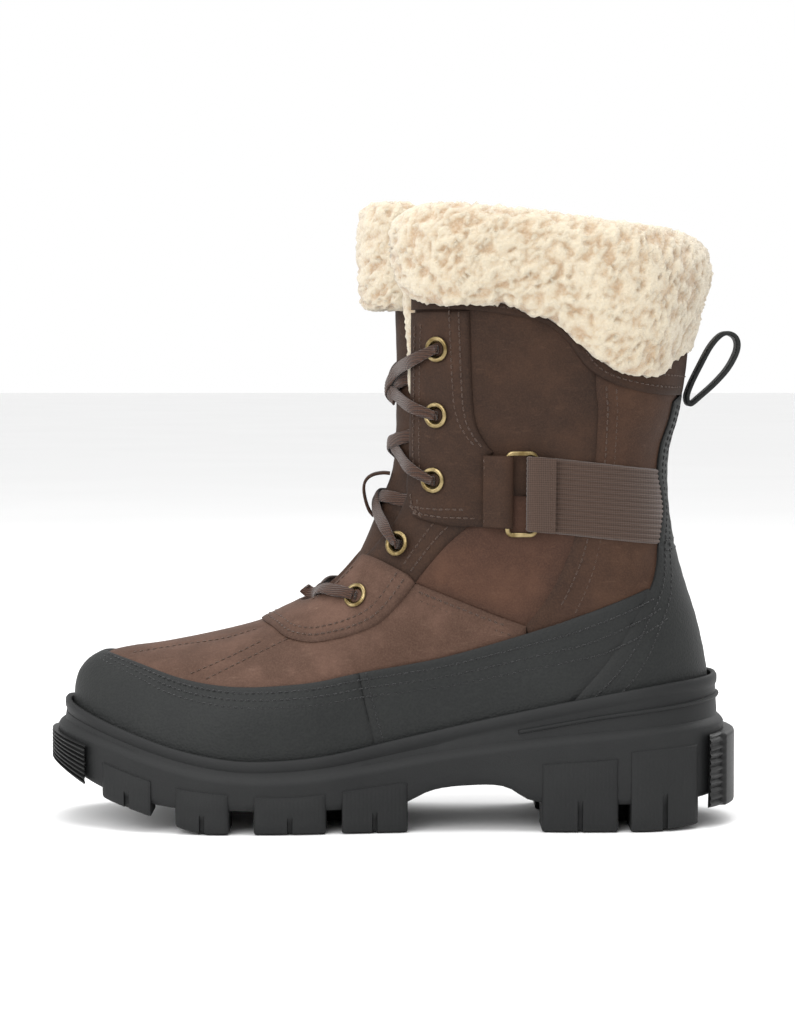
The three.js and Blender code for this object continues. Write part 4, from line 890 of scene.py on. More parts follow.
def on_tongue(s, u, by, wide=None):
    s, u, by = np.broadcast_arrays(np.asarray(s, float), np.asarray(u, float), np.asarray(by, float))
    wide = tongue_half(s) if wide is None else wide
    t = front_point(np.minimum(1, s + 0.002)) - front_point(np.maximum(0, s - 0.002))
    t /= np.linalg.norm(t, axis=-1, keepdims=True)
    back = 13 * ((wide * u) / 23) ** 2
    p = front_point(s) + np.stack([-t[..., 1], t[..., 0]], -1) * (by - back)[..., None]
    return np.stack([p[..., 0], centre_at(p[..., 0]) + wide * u, p[..., 1]], -1)


def curls(points, size, depth, seed=0.0):
    """How far each point of the pile stands out, and how near a curl's tip it is, 0 to 1."""
    height = []
    for p in points:
        q = Vector(p) / size + Vector((seed, seed * 0.7, 0))
        bend = texture.noise_vector(q * 0.7) * 0.9
        ridges = 1 - abs(texture.noise(q + bend)) * 2.2
        height.append(max(0.0, ridges) * 0.65 + 0.35 * (0.5 + texture.noise(q * 2.6 + bend)))
    height = np.clip(np.array(height), 0, 1)
    return height * depth, height


def fluffy(name, points, faces, body, replaced, size=5.2, depth=2.2, seed=0.0, sink=0.9, held=None):
    """A closed fleece form whose surface stands out in curls."""
    points = np.asarray(points, float).reshape(-1, 3)
    obj = piece(name, points, faces, FLEECE, "fleece", body, replaced)
    mesh = obj.data
    out = np.zeros(len(points) * 3)
    mesh.vertices.foreach_get("normal", out)
    rise, tips = curls(points, size, depth, seed)
    keep = np.ones(len(points)) if held is None else held
    moved = points + out.reshape(-1, 3) * ((rise - sink * depth * 0.5) * keep)[:, None]
    mesh.vertices.foreach_set("co", (moved * MM).ravel())
    # The curl attribute, the curl height, steers the fleece's painted shade between the curls.
    mesh.attributes.new("curl", "FLOAT", "POINT").data.foreach_set("value", tips.astype(np.float32))
    mesh.update()
    return obj


def tongue_parts():
    s = np.linspace(TONGUE_FROM, TONGUE_TO, 90)
    u = np.concatenate([[-1, -0.985], np.linspace(-0.95, 0.95, 23), [0.985, 1]])
    edge = 1 - np.clip((1 - np.abs(u)) * 20, 0, 1)
    creases = 0.18 * np.array([[texture.noise(Vector((a * 40, b * 1.5, 2.0))) for b in u] for a in s])
    top = on_tongue(s[:, None], u[None, :], tongue_rise(s)[:, None] - 0.75 * edge[None, :] ** 2 + creases)
    low = on_tongue(s[:, None], u[None, :], tongue_rise(s)[:, None] - 1.8 + 0.75 * edge[None, :] ** 2)
    ring = np.concatenate([top, low[:, ::-1][:, 1:-1]], axis=1)
    # The tongue's sides get low edge values, so painted shade falls along them.
    shade = np.clip(1 - np.abs(np.concatenate([u, u[::-1][1:-1]])), 0, 0.12) / 0.12
    piece("tongue", ring.reshape(-1, 3), tube_faces(len(s), ring.shape[1]), SHAFT_LEATHER, "brown_leather",
          "tongue_body", ("tongue",), 60, {"edge": np.tile(shade, len(s))})
    a = np.arange(40) / 40 * 2 * math.pi
    ca, sa = np.cos(a), np.sin(a)
    u = np.sign(ca) * np.abs(ca) ** 0.5
    rise = 5.25 - 2.25 * np.sign(sa) * np.abs(sa) ** 0.7
    rows = np.linspace(TONGUE_FROM + 0.004, TONGUE_TO - 0.002, 60)
    pad = on_tongue(rows[:, None], u[None, :] * 0.985, tongue_rise(rows)[:, None] - rise[None, :])
    obj = piece("tongue_pad", pad.reshape(-1, 3), tube_faces(60, 40), FLEECE, "fleece", "tongue_body", ("tongue_pad",),
                None, {"curl": np.full(2400, 0.6)})
    rows = np.linspace(0.0, 1.0, 44)
    n = 78
    a = np.arange(n) / n * 2 * math.pi
    ca, sa = np.cos(a), np.sin(a)
    u = np.sign(ca) * np.abs(ca) ** 0.55
    lift = np.sign(sa) * np.abs(sa) ** 0.75
    loops = []
    for r in rows:
        round_end = math.sqrt(max(0.0, 1 - abs(2 * r - 1) ** 3.2))
        s = 0.882 + 0.109 * (0.5 - 0.5 * math.cos(math.pi * r))
        middle, half = 4.6, 0.6 + 10.2 * round_end
        loops.append(on_tongue(s, u * (0.55 + 0.45 * round_end), tongue_rise(s) + middle + half * lift, 22.6))
    fluffy("tongue_cuff", np.vstack(loops), tube_faces(44, n), "tongue_body", ("tongue_cuff",), size=4.4,
           depth=2.6, seed=3)


def lace_keeper():
    s = np.linspace(0.464, 0.549, 30)
    lift = 0.4 + 8.2 * np.sin(np.pi * np.arange(30) / 29) ** 0.6
    mid = on_tongue(s, 0.0, tongue_rise(s) + lift)
    t = np.gradient(mid, axis=0)
    t /= np.linalg.norm(t, axis=1, keepdims=True)
    out = np.stack([-t[:, 2], 0 * t[:, 0], t[:, 0]], 1)

    def place(k, across, rise):
        return mid[k] + out[k] * (0.62 + rise)[:, None] + np.array([0, 1, 0]) * across[:, None]
    points, ring = ribbon(range(30), 12, 1.2, place, 8)
    piece("lace_keeper", points.reshape(-1, 3), tube_faces(30, ring), SHAFT_LEATHER, "brown_leather", "tongue_body",
          ("lace_keeper",), 60, {"edge": np.ones(30 * ring)})


# ---- Cuff, lining and footbed ----------------------------------------------------------------------------------------
cuff_low = through([[-91, 230], [-85.3, 222], [-73.5, 216.4], [-46.6, 216.2], [-41.2, 213.4], [-27.3, 208.2],
                    [-19.7, 200.8], [-12, 194.5], [-2.9, 189], [6, 187.3], [14, 188], [20, 193], [27.8, 197.5]])
cuff_high = through([[-91, 250], [-86, 253.5], [-74, 257], [-56.3, 256], [-25.2, 252.5], [-9.2, 250], [10, 247.5],
                     [22, 245], [28.4, 242]])
front_over_height = through([[z, x] for x, z in RIBS[10:, :2]])


def collar_point(phi, z, offset):
    """A point at a height on the collar: phi runs from the throat, 0, over the back, 1, to the other side, 2."""
    phi, z, offset = np.broadcast_arrays(np.asarray(phi, float), np.asarray(z, float), np.asarray(offset, float))
    reach = np.where(phi > 1, 2 - phi, phi)
    x = mix(front_over_height(z), back_at(z), (1 - np.cos(np.pi * reach)) / 2)
    at = locate(np.stack([x, z], -1))
    v = np.where(reach > 0.999, 1.0, at[..., 1])
    return surface(at[..., 0], np.where(phi > 1, 2 - v, v), offset)


def cuff():
    """The turned-over sheepskin: one thick roll from the throat round the back."""
    stations, around = 250, 74
    phis = np.linspace(0.13, 1.87, stations)
    loops = []
    for k, phi in enumerate(phis):
        reach = min(phi, 2 - phi)
        x = mix(-91.8, 28, (1 - math.cos(math.pi * reach)) / 2)
        low, high = float(cuff_low(x)), float(cuff_high(x))
        end = math.sqrt(max(0.0, 1 - (1 - min(1, (min(k, stations - 1 - k) + 0.15) / 9)) ** 2))
        tall = high - low
        key = np.array([
            [2.9, low + 1.8], [4.4, low], [7.0, low + 0.4], [9.4, low + 0.12 * tall], [11.0, low + 0.28 * tall],
            [11.7, low + 0.5 * tall], [11.4, low + 0.72 * tall], [9.6, low + 0.88 * tall], [5.8, high - 1.0],
            [0.5, high], [-4.5, high - 1.0], [-8.2, high - 4.5], [-9.3, 0.5 * (high + 239)], [-8.6, 238.4],
            [-4.0, 236.9], [0.5, 236.9], [2.6, 235.5], [2.8, 0.5 * (low + 235)]])
        slope = 3.2 + 0.27 * np.maximum(key[:, 1] - low, 0)
        slim = np.where(key[:, 0] > 3, np.minimum(key[:, 0], slope), key[:, 0])
        key[:, 0] = mix(key[:, 0], slim, smooth((x - 8) / 14))
        closed = np.vstack([key[-2:], key, key[:3]])
        section = spline(closed, np.linspace(0, 1, 600))
        first = int(600 * 2 / (len(closed) - 1))
        last = int(600 * (2 + len(key)) / (len(closed) - 1))
        section = section[first:last]
        reach_along = np.concatenate([[0], np.cumsum(np.linalg.norm(np.diff(section, axis=0), axis=1))])
        spots = np.linspace(0, reach_along[-1], around, endpoint=False)
        section = np.stack([np.interp(spots, reach_along, section[:, j]) for j in (0, 1)], 1)
        centre = np.array([3.0, 0.5 * (low + high) + 6])
        section = centre + (section - centre) * (0.25 + 0.75 * end)
        loops.append(section)
    loops = np.array(loops)
    points = collar_point(phis[:, None], loops[..., 1], loops[..., 0])
    held = np.where((loops[..., 0] < 3.2) & (loops[..., 0] > -9.0) & (loops[..., 1] < 237.5), 0.15, 1.0)
    fluffy("cuff", points, tube_faces(stations, around), "boot_body", ("cuff",), size=4.4, depth=2.6,
           held=held.ravel())


def lining():
    """The booty of pile inside the leather, open at the throat."""
    s = np.linspace(0.03, 0.985, 160)
    tall = 60
    throat = P(THROAT)
    throat_v = np.interp(s * ALONG, throat[:, 0], throat[:, 1] / ACROSS) + 0.03
    throat_v = np.where(s * ALONG < throat[0, 0], 0.0, throat_v)
    t = np.linspace(0, 1, tall)
    v = throat_v[:, None] + t[None, :] * (2 - 2 * throat_v[:, None])
    layers = []
    for offset in (CAVITY + 1.3, CAVITY - 0.3):
        layer = surface(s[:, None] + 0 * v, v, offset)
        floor = bed_height(layer[..., 0]) + 1.2 + (0.6 if offset < CAVITY else 0)
        layer[..., 2] = np.clip(layer[..., 2], floor, 237.4)
        layers.append(layer)
    ring = np.concatenate([layers[0], layers[1][:, ::-1]], axis=1)
    held = np.concatenate([np.zeros(tall), np.ones(tall)])
    held[tall:tall + 2] = held[-2:] = 0.3
    fluffy("lining", ring, tube_faces(len(s), 2 * tall), "boot_body", ("lining",), depth=1.6, seed=9,
           held=np.tile(held, len(s)))


def throat_edges():
    """The pile that shows between the tongue and the leather, high on the throat."""
    for way, side in ((-1, "outer"), (1, "inner")):
        heights = np.linspace(176, 231, 46)
        a = np.arange(18) / 18 * 2 * math.pi
        loops = []
        for k, z in enumerate(heights):
            size = math.sqrt(max(0.02, 1 - abs(2 * k / 45 - 1) ** 4)) * (1.1 + 0.6 * smooth((z - 195) / 25))
            at, along, up, out = seat(-87.6, z, way)
            loops.append(at + out * (-4.2 + 3.0 * size * np.sin(a))[:, None]
                         + along * (-2.6 + 3.6 * size * np.cos(a))[:, None])
        fluffy(f"throat_pile_{side}", np.vstack(loops), tube_faces(46, 18), "boot_body", (), depth=1.4, seed=5)


def plan_line(offset, xs):
    """Half the sole's width at stations, at an offset from the leather."""
    start, end = TOE - offset, HEEL + offset
    return (foot_half(xs) + offset) * rounded((xs - start) / (72 + offset), 2.25) * rounded((end - xs) / (42 + offset), 2.25)


def plan_ring(offset, height, count=120):
    """A closed loop round the sole, from the toe along the outer side to the heel and back."""
    start, end = TOE - offset, HEEL + offset
    xs = mix(start, end, (1 - np.cos(np.pi * np.arange(count + 1) / count)) / 2)
    wide = plan_line(offset, xs)
    wide[[0, -1]] = 0
    outer = np.stack([xs, centre_at(xs) - wide, height(xs)], 1)
    inner = np.stack([xs, centre_at(xs) + wide, height(xs)], 1)[::-1][1:-1]
    return np.vstack([outer, inner])


def plate(offset, height, count=120, columns=13):
    """A sheet that fills a plan ring."""
    ring = plan_ring(offset, height, count)
    outer = ring[:count + 1]
    inner = np.vstack([ring[:1], ring[count + 1:][::-1], ring[count:count + 1]])
    t = np.linspace(0, 1, columns)[None, :, None]
    grid = outer[:, None, :] * (1 - t) + inner[:, None, :] * t
    return grid.reshape(-1, 3), quads(count + 1, columns)


def lathe_plan(profile, count=120):
    """Walls through rings of (offset, height function)."""
    rings = [plan_ring(offset, height, count) for offset, height in profile]
    return np.vstack(rings), quads(len(rings), 2 * count, wrap_columns=True)


def welded(obj, apart=0.03):
    form = bmesh.new()
    form.from_mesh(obj.data)
    bmesh.ops.remove_doubles(form, verts=form.verts, dist=apart * MM)
    bmesh.ops.recalc_face_normals(form, faces=form.faces)
    form.to_mesh(obj.data)
    form.free()


def footbed():
    inset = CAVITY - 3.4
    plus = lambda by: lambda x: bed_height(x) + 1.2 + by
    walls = lathe_plan([(inset - 1.5, plus(0)), (inset - 0.3, plus(0.6)), (inset, plus(2)), (inset, plus(5)),
                        (inset - 0.5, plus(5.7)), (inset - 1.5, plus(6))], 90)
    points, faces = joined(walls, plate(inset - 1.5, plus(0), 90, 3), plate(inset - 1.5, plus(6), 90, 26))
    obj = piece("footbed", points, faces, FLEECE, "fleece", "footbed_body", ("footbed",), None,
                {"curl": np.full(len(points), 0.5)})
    welded(obj)
    co = np.zeros(len(obj.data.vertices) * 3)
    obj.data.vertices.foreach_get("co", co)
    co = co.reshape(-1, 3)
    rise, tips = curls(co / MM, 5.0, 0.9, 2.0)
    co[:, 2] += np.where(co[:, 2] / MM > bed_height(co[:, 0] / MM) + 6, rise * MM - 0.0005, 0)
    obj.data.vertices.foreach_set("co", co.ravel())
    # The curl heights also steer the pile's painted shade between the curls.
    obj.data.attributes["curl"].data.foreach_set("value", tips.astype(np.float32))
    obj.data.update()


# ---- Sole ---------------------------------------------------------------------------------------------------------------
RIM_INNER, RIM_OUTER, RIDGE = 3.25, 5.45, 8.25
LUG_FACE = RIDGE + 1.2
LUGS = [[-214, -193], [-183, -161], [-150.8, -121.4], [-115, -88], [-33, -1.7], [3.4, 32]]
MIDDLE_LUGS = [[-204, -190, 13], [-178, -164, 15], [-152, -138, 16], [-124, -110, 14], [-98, -88, 11],
               [-14, 14, 13], [20, 32, 11]]


def plus(line, by):
    return lambda x: line(x) + by


def sole():
    between = lambda low, high, t: lambda x: low(x) + (high(x) - low(x)) * t
    profile = [(RIDGE - 4.0, tread_height), (RIDGE - 1.6, plus(tread_height, 0.1)), (RIDGE - 0.6, plus(tread_height, 1.0)),
               (RIDGE, plus(tread_height, 3))]
    profile += [(RIDGE + 0.15, between(plus(tread_height, 3), plus(ridge_height, -1), t)) for t in (0.33, 0.66)]
    profile += [(RIDGE + 0.35, plus(ridge_height, -1.4)), (RIDGE + 0.3, plus(ridge_height, -0.5)),
                (RIDGE - 0.3, plus(ridge_height, 0.6)), (RIM_OUTER + 1.4, plus(ridge_height, 1.8)),
                (RIM_OUTER + 0.35, plus(ridge_height, 2.7)), (RIM_OUTER - 0.1, between(ridge_height, lip_height, 0.5)),
                (RIM_OUTER - 0.35, plus(lip_height, -5.4)), (RIM_OUTER - 0.2, plus(lip_height, -4.4)),
                (RIM_OUTER + 0.25, plus(lip_height, -3.7)), (RIM_OUTER + 0.35, plus(lip_height, -2.2)),
                (RIM_OUTER + 0.25, plus(lip_height, -0.8)), (RIM_OUTER - 0.4, plus(lip_height, 0.25)),
                (RIM_INNER + 0.7, plus(lip_height, 0.45)), (RIM_INNER, plus(lip_height, 0)),
                (RIM_INNER, plus(tread_height, 4))]
    parts = [lathe_plan(profile), plate(RIDGE - 4.0, tread_height), plate(RIM_INNER, plus(tread_height, 4))]
    points, faces = joined(*parts)
    obj = piece("outsole", points, faces, RUBBER, "black_rubber", "boot_body", ("outsole",), 38)
    welded(obj)
    obj.data.set_sharp_from_angle(angle=math.radians(38))
    lugs = []
    for first, last in LUGS:
        middle = (first + last) / 2
        xs = np.unique(np.concatenate([
            [first, first + 0.35, first + 1.1], np.linspace(first + 2, last - 2, 13), [last - 1.1, last - 0.35, last],
            middle + np.array([-1.15, -0.8, 0.8, 1.15])]))
        end = np.minimum(xs - first, last - xs)
        bevel = 1.0 - np.sqrt(1 - (1 - np.clip(end / 1.1, 0, 1)) ** 2)
        pillow = 0.9 * np.clip(1 - ((xs - middle) / (0.5 * (last - first))) ** 4, 0, 1)
        sipe = np.where(np.abs(xs - middle) < 0.9, 1.7, 0.0)
        for way in (-1, 1):
            ground, top, tread = ground_height(xs), pad_top(xs), tread_height(xs)
            rows = [(LUG_FACE - 24, tread + 2.5), (LUG_FACE - 24, ground + 0.6), (LUG_FACE - 23.4, ground)]
            rows += [(LUG_FACE - 24 + 22.4 * t, ground) for t in (0.3, 0.6, 0.85)]
            rows += [(LUG_FACE - 1.7, ground + 0.05), (LUG_FACE - 0.7, ground + 0.8)]
            rows += [(LUG_FACE, ground + (top - ground) * t) for t in (0.18, 0.3, 0.45, 0.6, 0.75, 0.87)]
            rows += [(LUG_FACE - 0.3, top - 0.5), (LUG_FACE - 1.3, top + 0.2), (LUG_FACE - 3.5, top + 0.4)]
            loop = []
            for j, (offset, z) in enumerate(rows):
                inset = offset + 0 * xs - bevel
                if 6 <= j <= 13:
                    inset = inset + pillow * (0.5 if j in (6, 13) else 1.0) - 0.5
                    inset = inset - np.where(z < ground + 0.42 * (top - ground), sipe, 0)
                z = np.maximum(z, ground + (bevel * 0.8 if 1 <= j <= 7 else 0))
                loop.append(np.stack([xs, centre_at(xs) + way * plan_line(LUG_FACE, xs) * 1.0
                                      + way * (inset - LUG_FACE), z], 1))
            ring = np.array(loop).transpose(1, 0, 2)
            lugs.append((ring.reshape(-1, 3), tube_faces(len(xs), len(rows))))
    for first, last, wide in MIDDLE_LUGS:
        xs = np.array([first, first + 0.3, first + 1, 0.5 * (first + last), last - 1, last - 0.3, last])
        ends = np.array([1.0, 0.35, 0, 0, 0, 0.35, 1.0])
        y = centre_at(0.5 * (first + last))
        ys = np.array([-wide, -wide + 0.3, -wide + 1, 0, wide - 1, wide - 0.3, wide])
        drop = np.maximum(ends[:, None], ends[None, :]) * 0.9
        low = np.stack([xs[:, None] + 0 * drop, y + ys[None, :] + 0 * drop, ground_height(xs)[:, None] + drop], -1)
        high = low.copy()
        high[..., 2] = (tread_height(xs) + 2.5)[:, None]
        border = [j for j in range(7)] + [i * 7 + 6 for i in range(1, 7)]
        border += [42 + j for j in range(5, -1, -1)] + [i * 7 for i in range(5, 0, -1)]
        rim = [(a, b, b + 49, a + 49) for a, b in zip(border, border[1:] + border[:1])]
        cap = quads(7, 7)
        lugs.append((np.vstack([low.reshape(-1, 3), high.reshape(-1, 3)]),
                     cap + rim + [tuple(k + 49 for k in f) for f in cap]))
    points, faces = joined(*lugs)
    obj = piece("lugs", points, faces, PAD_RUBBER, "black_rubber", "boot_body", (), 40)
    ridge_band()
    bumpers()


def swept(xs_to_point, count, section):
    loops = [xs_to_point(k / (count - 1))(section) for k in range(count)]
    return np.vstack(loops), tube_faces(count, len(section))


def sole_side(offset, height, start, count=90):
    """Points along the wall from a station on the outer side, round the heel, to the same on the inner."""
    ring = plan_ring(offset, height, 160)
    keep = ring[:, 0] > start
    return ring[keep]


def wall_strip(name, rings, material, slot, old=(), smooth_angle=45):
    """A closed strip whose section's corners run along the given lines."""
    count = len(rings[0])
    points = np.array(rings).transpose(1, 0, 2)
    return piece(name, points.reshape(-1, 3), tube_faces(count, len(rings)), material, slot, "boot_body", old,
                 smooth_angle)


def ridge_band():
    """The raised line round the back of the sole's wall."""
    line = through([[-42.9, 41.7], [-4.4, 48.4], [41, 53.8], [46, 54.3]])
    section = [(RIM_OUTER - 0.8, -1.9), (RIM_OUTER + 0.75, -1.5), (RIM_OUTER + 1.15, -0.7), (RIM_OUTER + 1.05, -0.2),
               (RIM_OUTER - 0.8, 0.3)]
    rings = []
    start = int(np.argmax(plan_ring(RIM_OUTER, line, 160)[:, 0] > -42.9))
    for offset, by in section:
        ring = plan_ring(RIM_OUTER, plus(line, by), 160)
        out = ring - plan_ring(RIM_OUTER - 1, plus(line, by), 160)
        ring = ring + out * (offset - RIM_OUTER)
        rings.append(ring[start:321 - start])
    wall_strip("ridge_band", rings, RUBBER, "black_rubber")


def bumpers():
    """The ribbed toe cap of the sole, and the block at the back of its heel."""
    inner = LUG_FACE - 1.2
    heights = np.linspace(0, 1, 54)
    low, high = plus(ground_height, 1), plus(ridge_height, -3)
    rings = [plan_ring(inner, low, 200)]
    for t in heights:
        wave = 0.5 + 0.5 * math.cos(t * 2 * math.pi * 8.5)
        offset = LUG_FACE + 0.35 + 1.6 - 1.25 * (wave ** 1.5) - 0.8 * (abs(2 * t - 1) > 0.97)
        rings.append(plan_ring(offset, lambda x, t=t: low(x) + (high(x) - low(x)) * t, 200))
    rings.append(plan_ring(inner, high, 200))
    cut = []
    for ring in rings:
        near = [k for k in range(len(ring)) if ring[k, 0] < -221]
        order = sorted(near, key=lambda k: ring[k, 1] - centre_at(ring[k, 0]))
        line = ring[order]
        reach = np.concatenate([[0], np.cumsum(np.linalg.norm(np.diff(line, axis=0), axis=1))])
        spots = np.linspace(0, reach[-1], 46)
        cut.append(np.stack([np.interp(spots, reach, line[:, j]) for j in range(3)], 1))
    wall_strip("toe_bumper", cut, BUMPER_RUBBER, "black_rubber", ("toe_bumper",), 60)
    low, high = (lambda x: 8 + 0 * x), plus(ridge_height, -3.5)
    rings = [plan_ring(inner, low, 200)]
    heights = np.linspace(0, 1, 40)
    for t in heights:
        edge = 1 - math.sqrt(max(0, 1 - max(0, 1 - min(t, 1 - t) / 0.06) ** 2))
        rings.append(plan_ring(LUG_FACE + 0.35 + 3.4 - 1.6 * edge, lambda x, t=t: low(x) + (high(x) - low(x)) * t, 200))
    rings.append(plan_ring(inner, high, 200))
    cut = []
    for j, ring in enumerate(rings):
        keep = ring[ring[:, 0] > 37]
        reach = np.concatenate([[0], np.cumsum(np.linalg.norm(np.diff(keep, axis=0), axis=1))])
        spots = np.linspace(0, reach[-1], 90)
        line = np.stack([np.interp(spots, reach, keep[:, k]) for k in range(3)], 1)
        side = smooth((44.5 - line[:, 0]) / 1.0)
        if 0 < j < len(rings) - 1:
            t = heights[j - 1]
            ribs = (0.5 + 0.5 * math.cos(t * 2 * math.pi * 10.5)) * 1.3
            towards = line - np.array([20, centre_at(20), 0])
            towards[:, 2] = 0
            towards /= np.linalg.norm(towards, axis=1, keepdims=True)
            line = line - towards * (side * (0.9 + ribs))[:, None]
        cut.append(line)
    wall_strip("heel_bumper", cut, BUMPER_RUBBER, "black_rubber", ("heel_bumper",), 60)


# ---- Lace and pull loop -----------------------------------------------------------------------------------------------
LACE_WIDTH, LACE_THICK = 5.4, 1.4
throat_over_height = through([[z, x] for x, z in THROAT[np.argsort(THROAT[:, 1])][::8]])


def front_at(z):
    low, high = 0.0, 1.0
    for _ in range(30):
        s = (low + high) / 2
        low, high = (low, s) if front_point(s)[1] > z else (s, high)
    return low


def on_front(z, u, lift):
    s = front_at(z)
    n = on_tongue(s, u, 1.0) - on_tongue(s, u, 0.0)
    side = np.array([0, 0.9 * u, 0])
    n = n / np.linalg.norm(n) + side
    return on_tongue(s, u, tongue_rise(s) + lift), n / np.linalg.norm(n), LACE_WIDTH


def over_leather(x, z, way, by, width=LACE_WIDTH):
    at, _, _, out = seat(x, z, way)
    return at + out * by, out, width


def through_eyelet(k, way):
    """Out through an eyelet: gathered in its bore, then turned flat towards the throat."""
    x, z = EYELETS[k]
    at, along, up, out = seat(x, z, way)
    return [(at + out * -4.6, -along, 4.2), (at + out * -1.0, -along, 3.6), (at + out * 2.4, -along, 3.6),
            (at + out * 4.1 - along * 0.4, (out - along) / math.sqrt(2), 4.2)]


def lace_strand(stops):
    """A flat braid through (point, the way its face looks, width) stops."""
    points = np.array([p for p, _, _ in stops])
    reach = np.concatenate([[0], np.cumsum(np.linalg.norm(np.diff(points, axis=0), axis=1))])
    steps = max(8, int(reach[-1] / 0.9))
    dense = spline(points, np.linspace(0, 1, 12 * (len(points) - 1) + 1))
    along = np.concatenate([[0], np.cumsum(np.linalg.norm(np.diff(dense, axis=0), axis=1))])
    spots = np.linspace(0, along[-1], steps)
    path = np.stack([np.interp(spots, along, dense[:, k]) for k in range(3)], 1)
    stop_at = along[::12]
    face = np.array([f for _, f, _ in stops])
    face = np.stack([np.interp(spots, stop_at, face[:, k]) for k in range(3)], 1)
    wide = np.interp(spots, stop_at, [w for _, _, w in stops])
    t = np.gradient(path, axis=0)
    t /= np.linalg.norm(t, axis=1, keepdims=True) + 1e-9
    across = np.cross(face, t)
    across /= np.linalg.norm(across, axis=1, keepdims=True) + 1e-9
    out = np.cross(t, across)
    a = np.arange(20) / 20 * 2 * math.pi
    ca, sa = np.cos(a), np.sin(a)
    flat = np.sign(ca) * np.abs(ca) ** 0.8
    thick = np.sign(sa) * np.abs(sa) ** 0.6
    loops = []
    for k in range(steps):
        plait = 0.06 * np.cos(flat * 9 + spots[k] * 3.4) + 0.06 * np.cos(flat * 9 - spots[k] * 3.4)
        bulk = LACE_THICK * (1 + 0.5 * (LACE_WIDTH - wide[k]) / LACE_WIDTH)
        loops.append(path[k] + across[k] * (flat * wide[k] / 2)[:, None]
                     + out[k] * (thick * (bulk / 2 + plait))[:, None])
    return np.vstack(loops), tube_faces(steps, 20)


def lace():
    crossings = [134.5, 158, 181]
    strands = []
    for way in (-1, 1):
        x, z = EYELETS[0]
        front = np.array([-131.5, float(centre_at(-130)), 96.9])
        strands.append(lace_strand(through_eyelet(0, way) + [
            over_leather(x - 6, z + 0.2, way, 4.4), over_leather(x - 13, z, way, 4.3),
            over_leather(x - 19, z - 0.4, way, 4.2), (front, np.array([-0.55, way * 0.1, 0.83]), LACE_WIDTH)]))
        strands.append(lace_strand(through_eyelet(0, way)[::-1][1:] + through_eyelet(1, way)[:-1]))
        for k in (1, 2, 3):
            low, high, middle = EYELETS[k][1], EYELETS[k + 1][1], crossings[k - 1]
            leave, under = mix(low, middle, 0.35), mix(middle, high, 0.45)
            above = way == (-1 if k % 2 else 1)
            lift = 2.9 if above else 1.5
            edge = float(throat_over_height(under))
            far = EYELETS[k + 1]
            strands.append(lace_strand(through_eyelet(k, way) + [
                over_leather(float(throat_over_height(leave)) + 2, leave, way, 4.3),
                on_front(mix(leave, middle, 0.6), way * 0.5, lift + 0.3), on_front(middle, 0, lift),
                on_front(mix(middle, under, 0.45), -way * 0.5, 1.4), on_front(under, -way * 0.96, 0.9),
                over_leather(edge + 7, mix(under, high, 0.5), -way, -4.4, 4.6),
                over_leather(far[0] + 0.5, far[1] - 2, -way, -4.8, 4.2)]))
        x, z = EYELETS[4]
        strands.append(lace_strand(through_eyelet(4, way) + [
            over_leather(float(throat_over_height(z - 6)) + 2, z - 5, way, 4.3),
            on_front(188.5, way * 0.5, 3.6 if way < 0 else 4.2), on_front(181, 0, 4.4 if way < 0 else 3.6),
            on_front(176.5, -way * 0.3, 2.0)]))
    points, faces = joined(*strands)
    piece("lace", points, faces, LACE_CLOTH, "lace_cloth", "boot_body", ("lace",), 60)


def pull_loop():
    centre = np.array([[30.6, 174.6], [35, 178], [41, 183.4], [46.3, 189.4], [49.8, 195.8], [50.5, 200.3],
                       [48.9, 203.4], [45.6, 204.4], [42.4, 202.7], [38.7, 198.1], [34.6, 190.4], [31, 183],
                       [29.3, 177.6]])
    closed = np.vstack([centre[-2:], centre, centre[:3]])
    count = 110
    line = spline(closed, np.linspace(2, 2 + len(centre), count, endpoint=False) / (len(closed) - 1))
    t = np.roll(line, -1, axis=0) - np.roll(line, 1, axis=0)
    t /= np.linalg.norm(t, axis=1, keepdims=True)

    def place(k, across, lift):
        ridge = 0.22 * np.exp(-((np.abs(across) - 4.9) / 0.45) ** 2) * np.sign(lift)
        shift = lift - ridge
        return np.stack([line[k, 0] + t[k, 1] * shift, across, line[k, 1] - t[k, 0] * shift], -1)
    points, ring = ribbon(range(count), 14, 1.8, place, 26)
    piece("pull_loop", points.reshape(-1, 3), tube_faces(count, ring, closed=True), BLACK_LEATHER, "black_leather",
          "pull_loop_body", ("pull_loop",), 60, {"edge": np.ones(count * ring)})


# ---- Stitching --------------------------------------------------------------------------------------------------------
def rows_beside(line, *gaps):
    """Rows of stitches at distances to the left of a seam on the flat pattern."""
    flat = P(line)
    return [shifted(flat, gap) for gap in gaps]


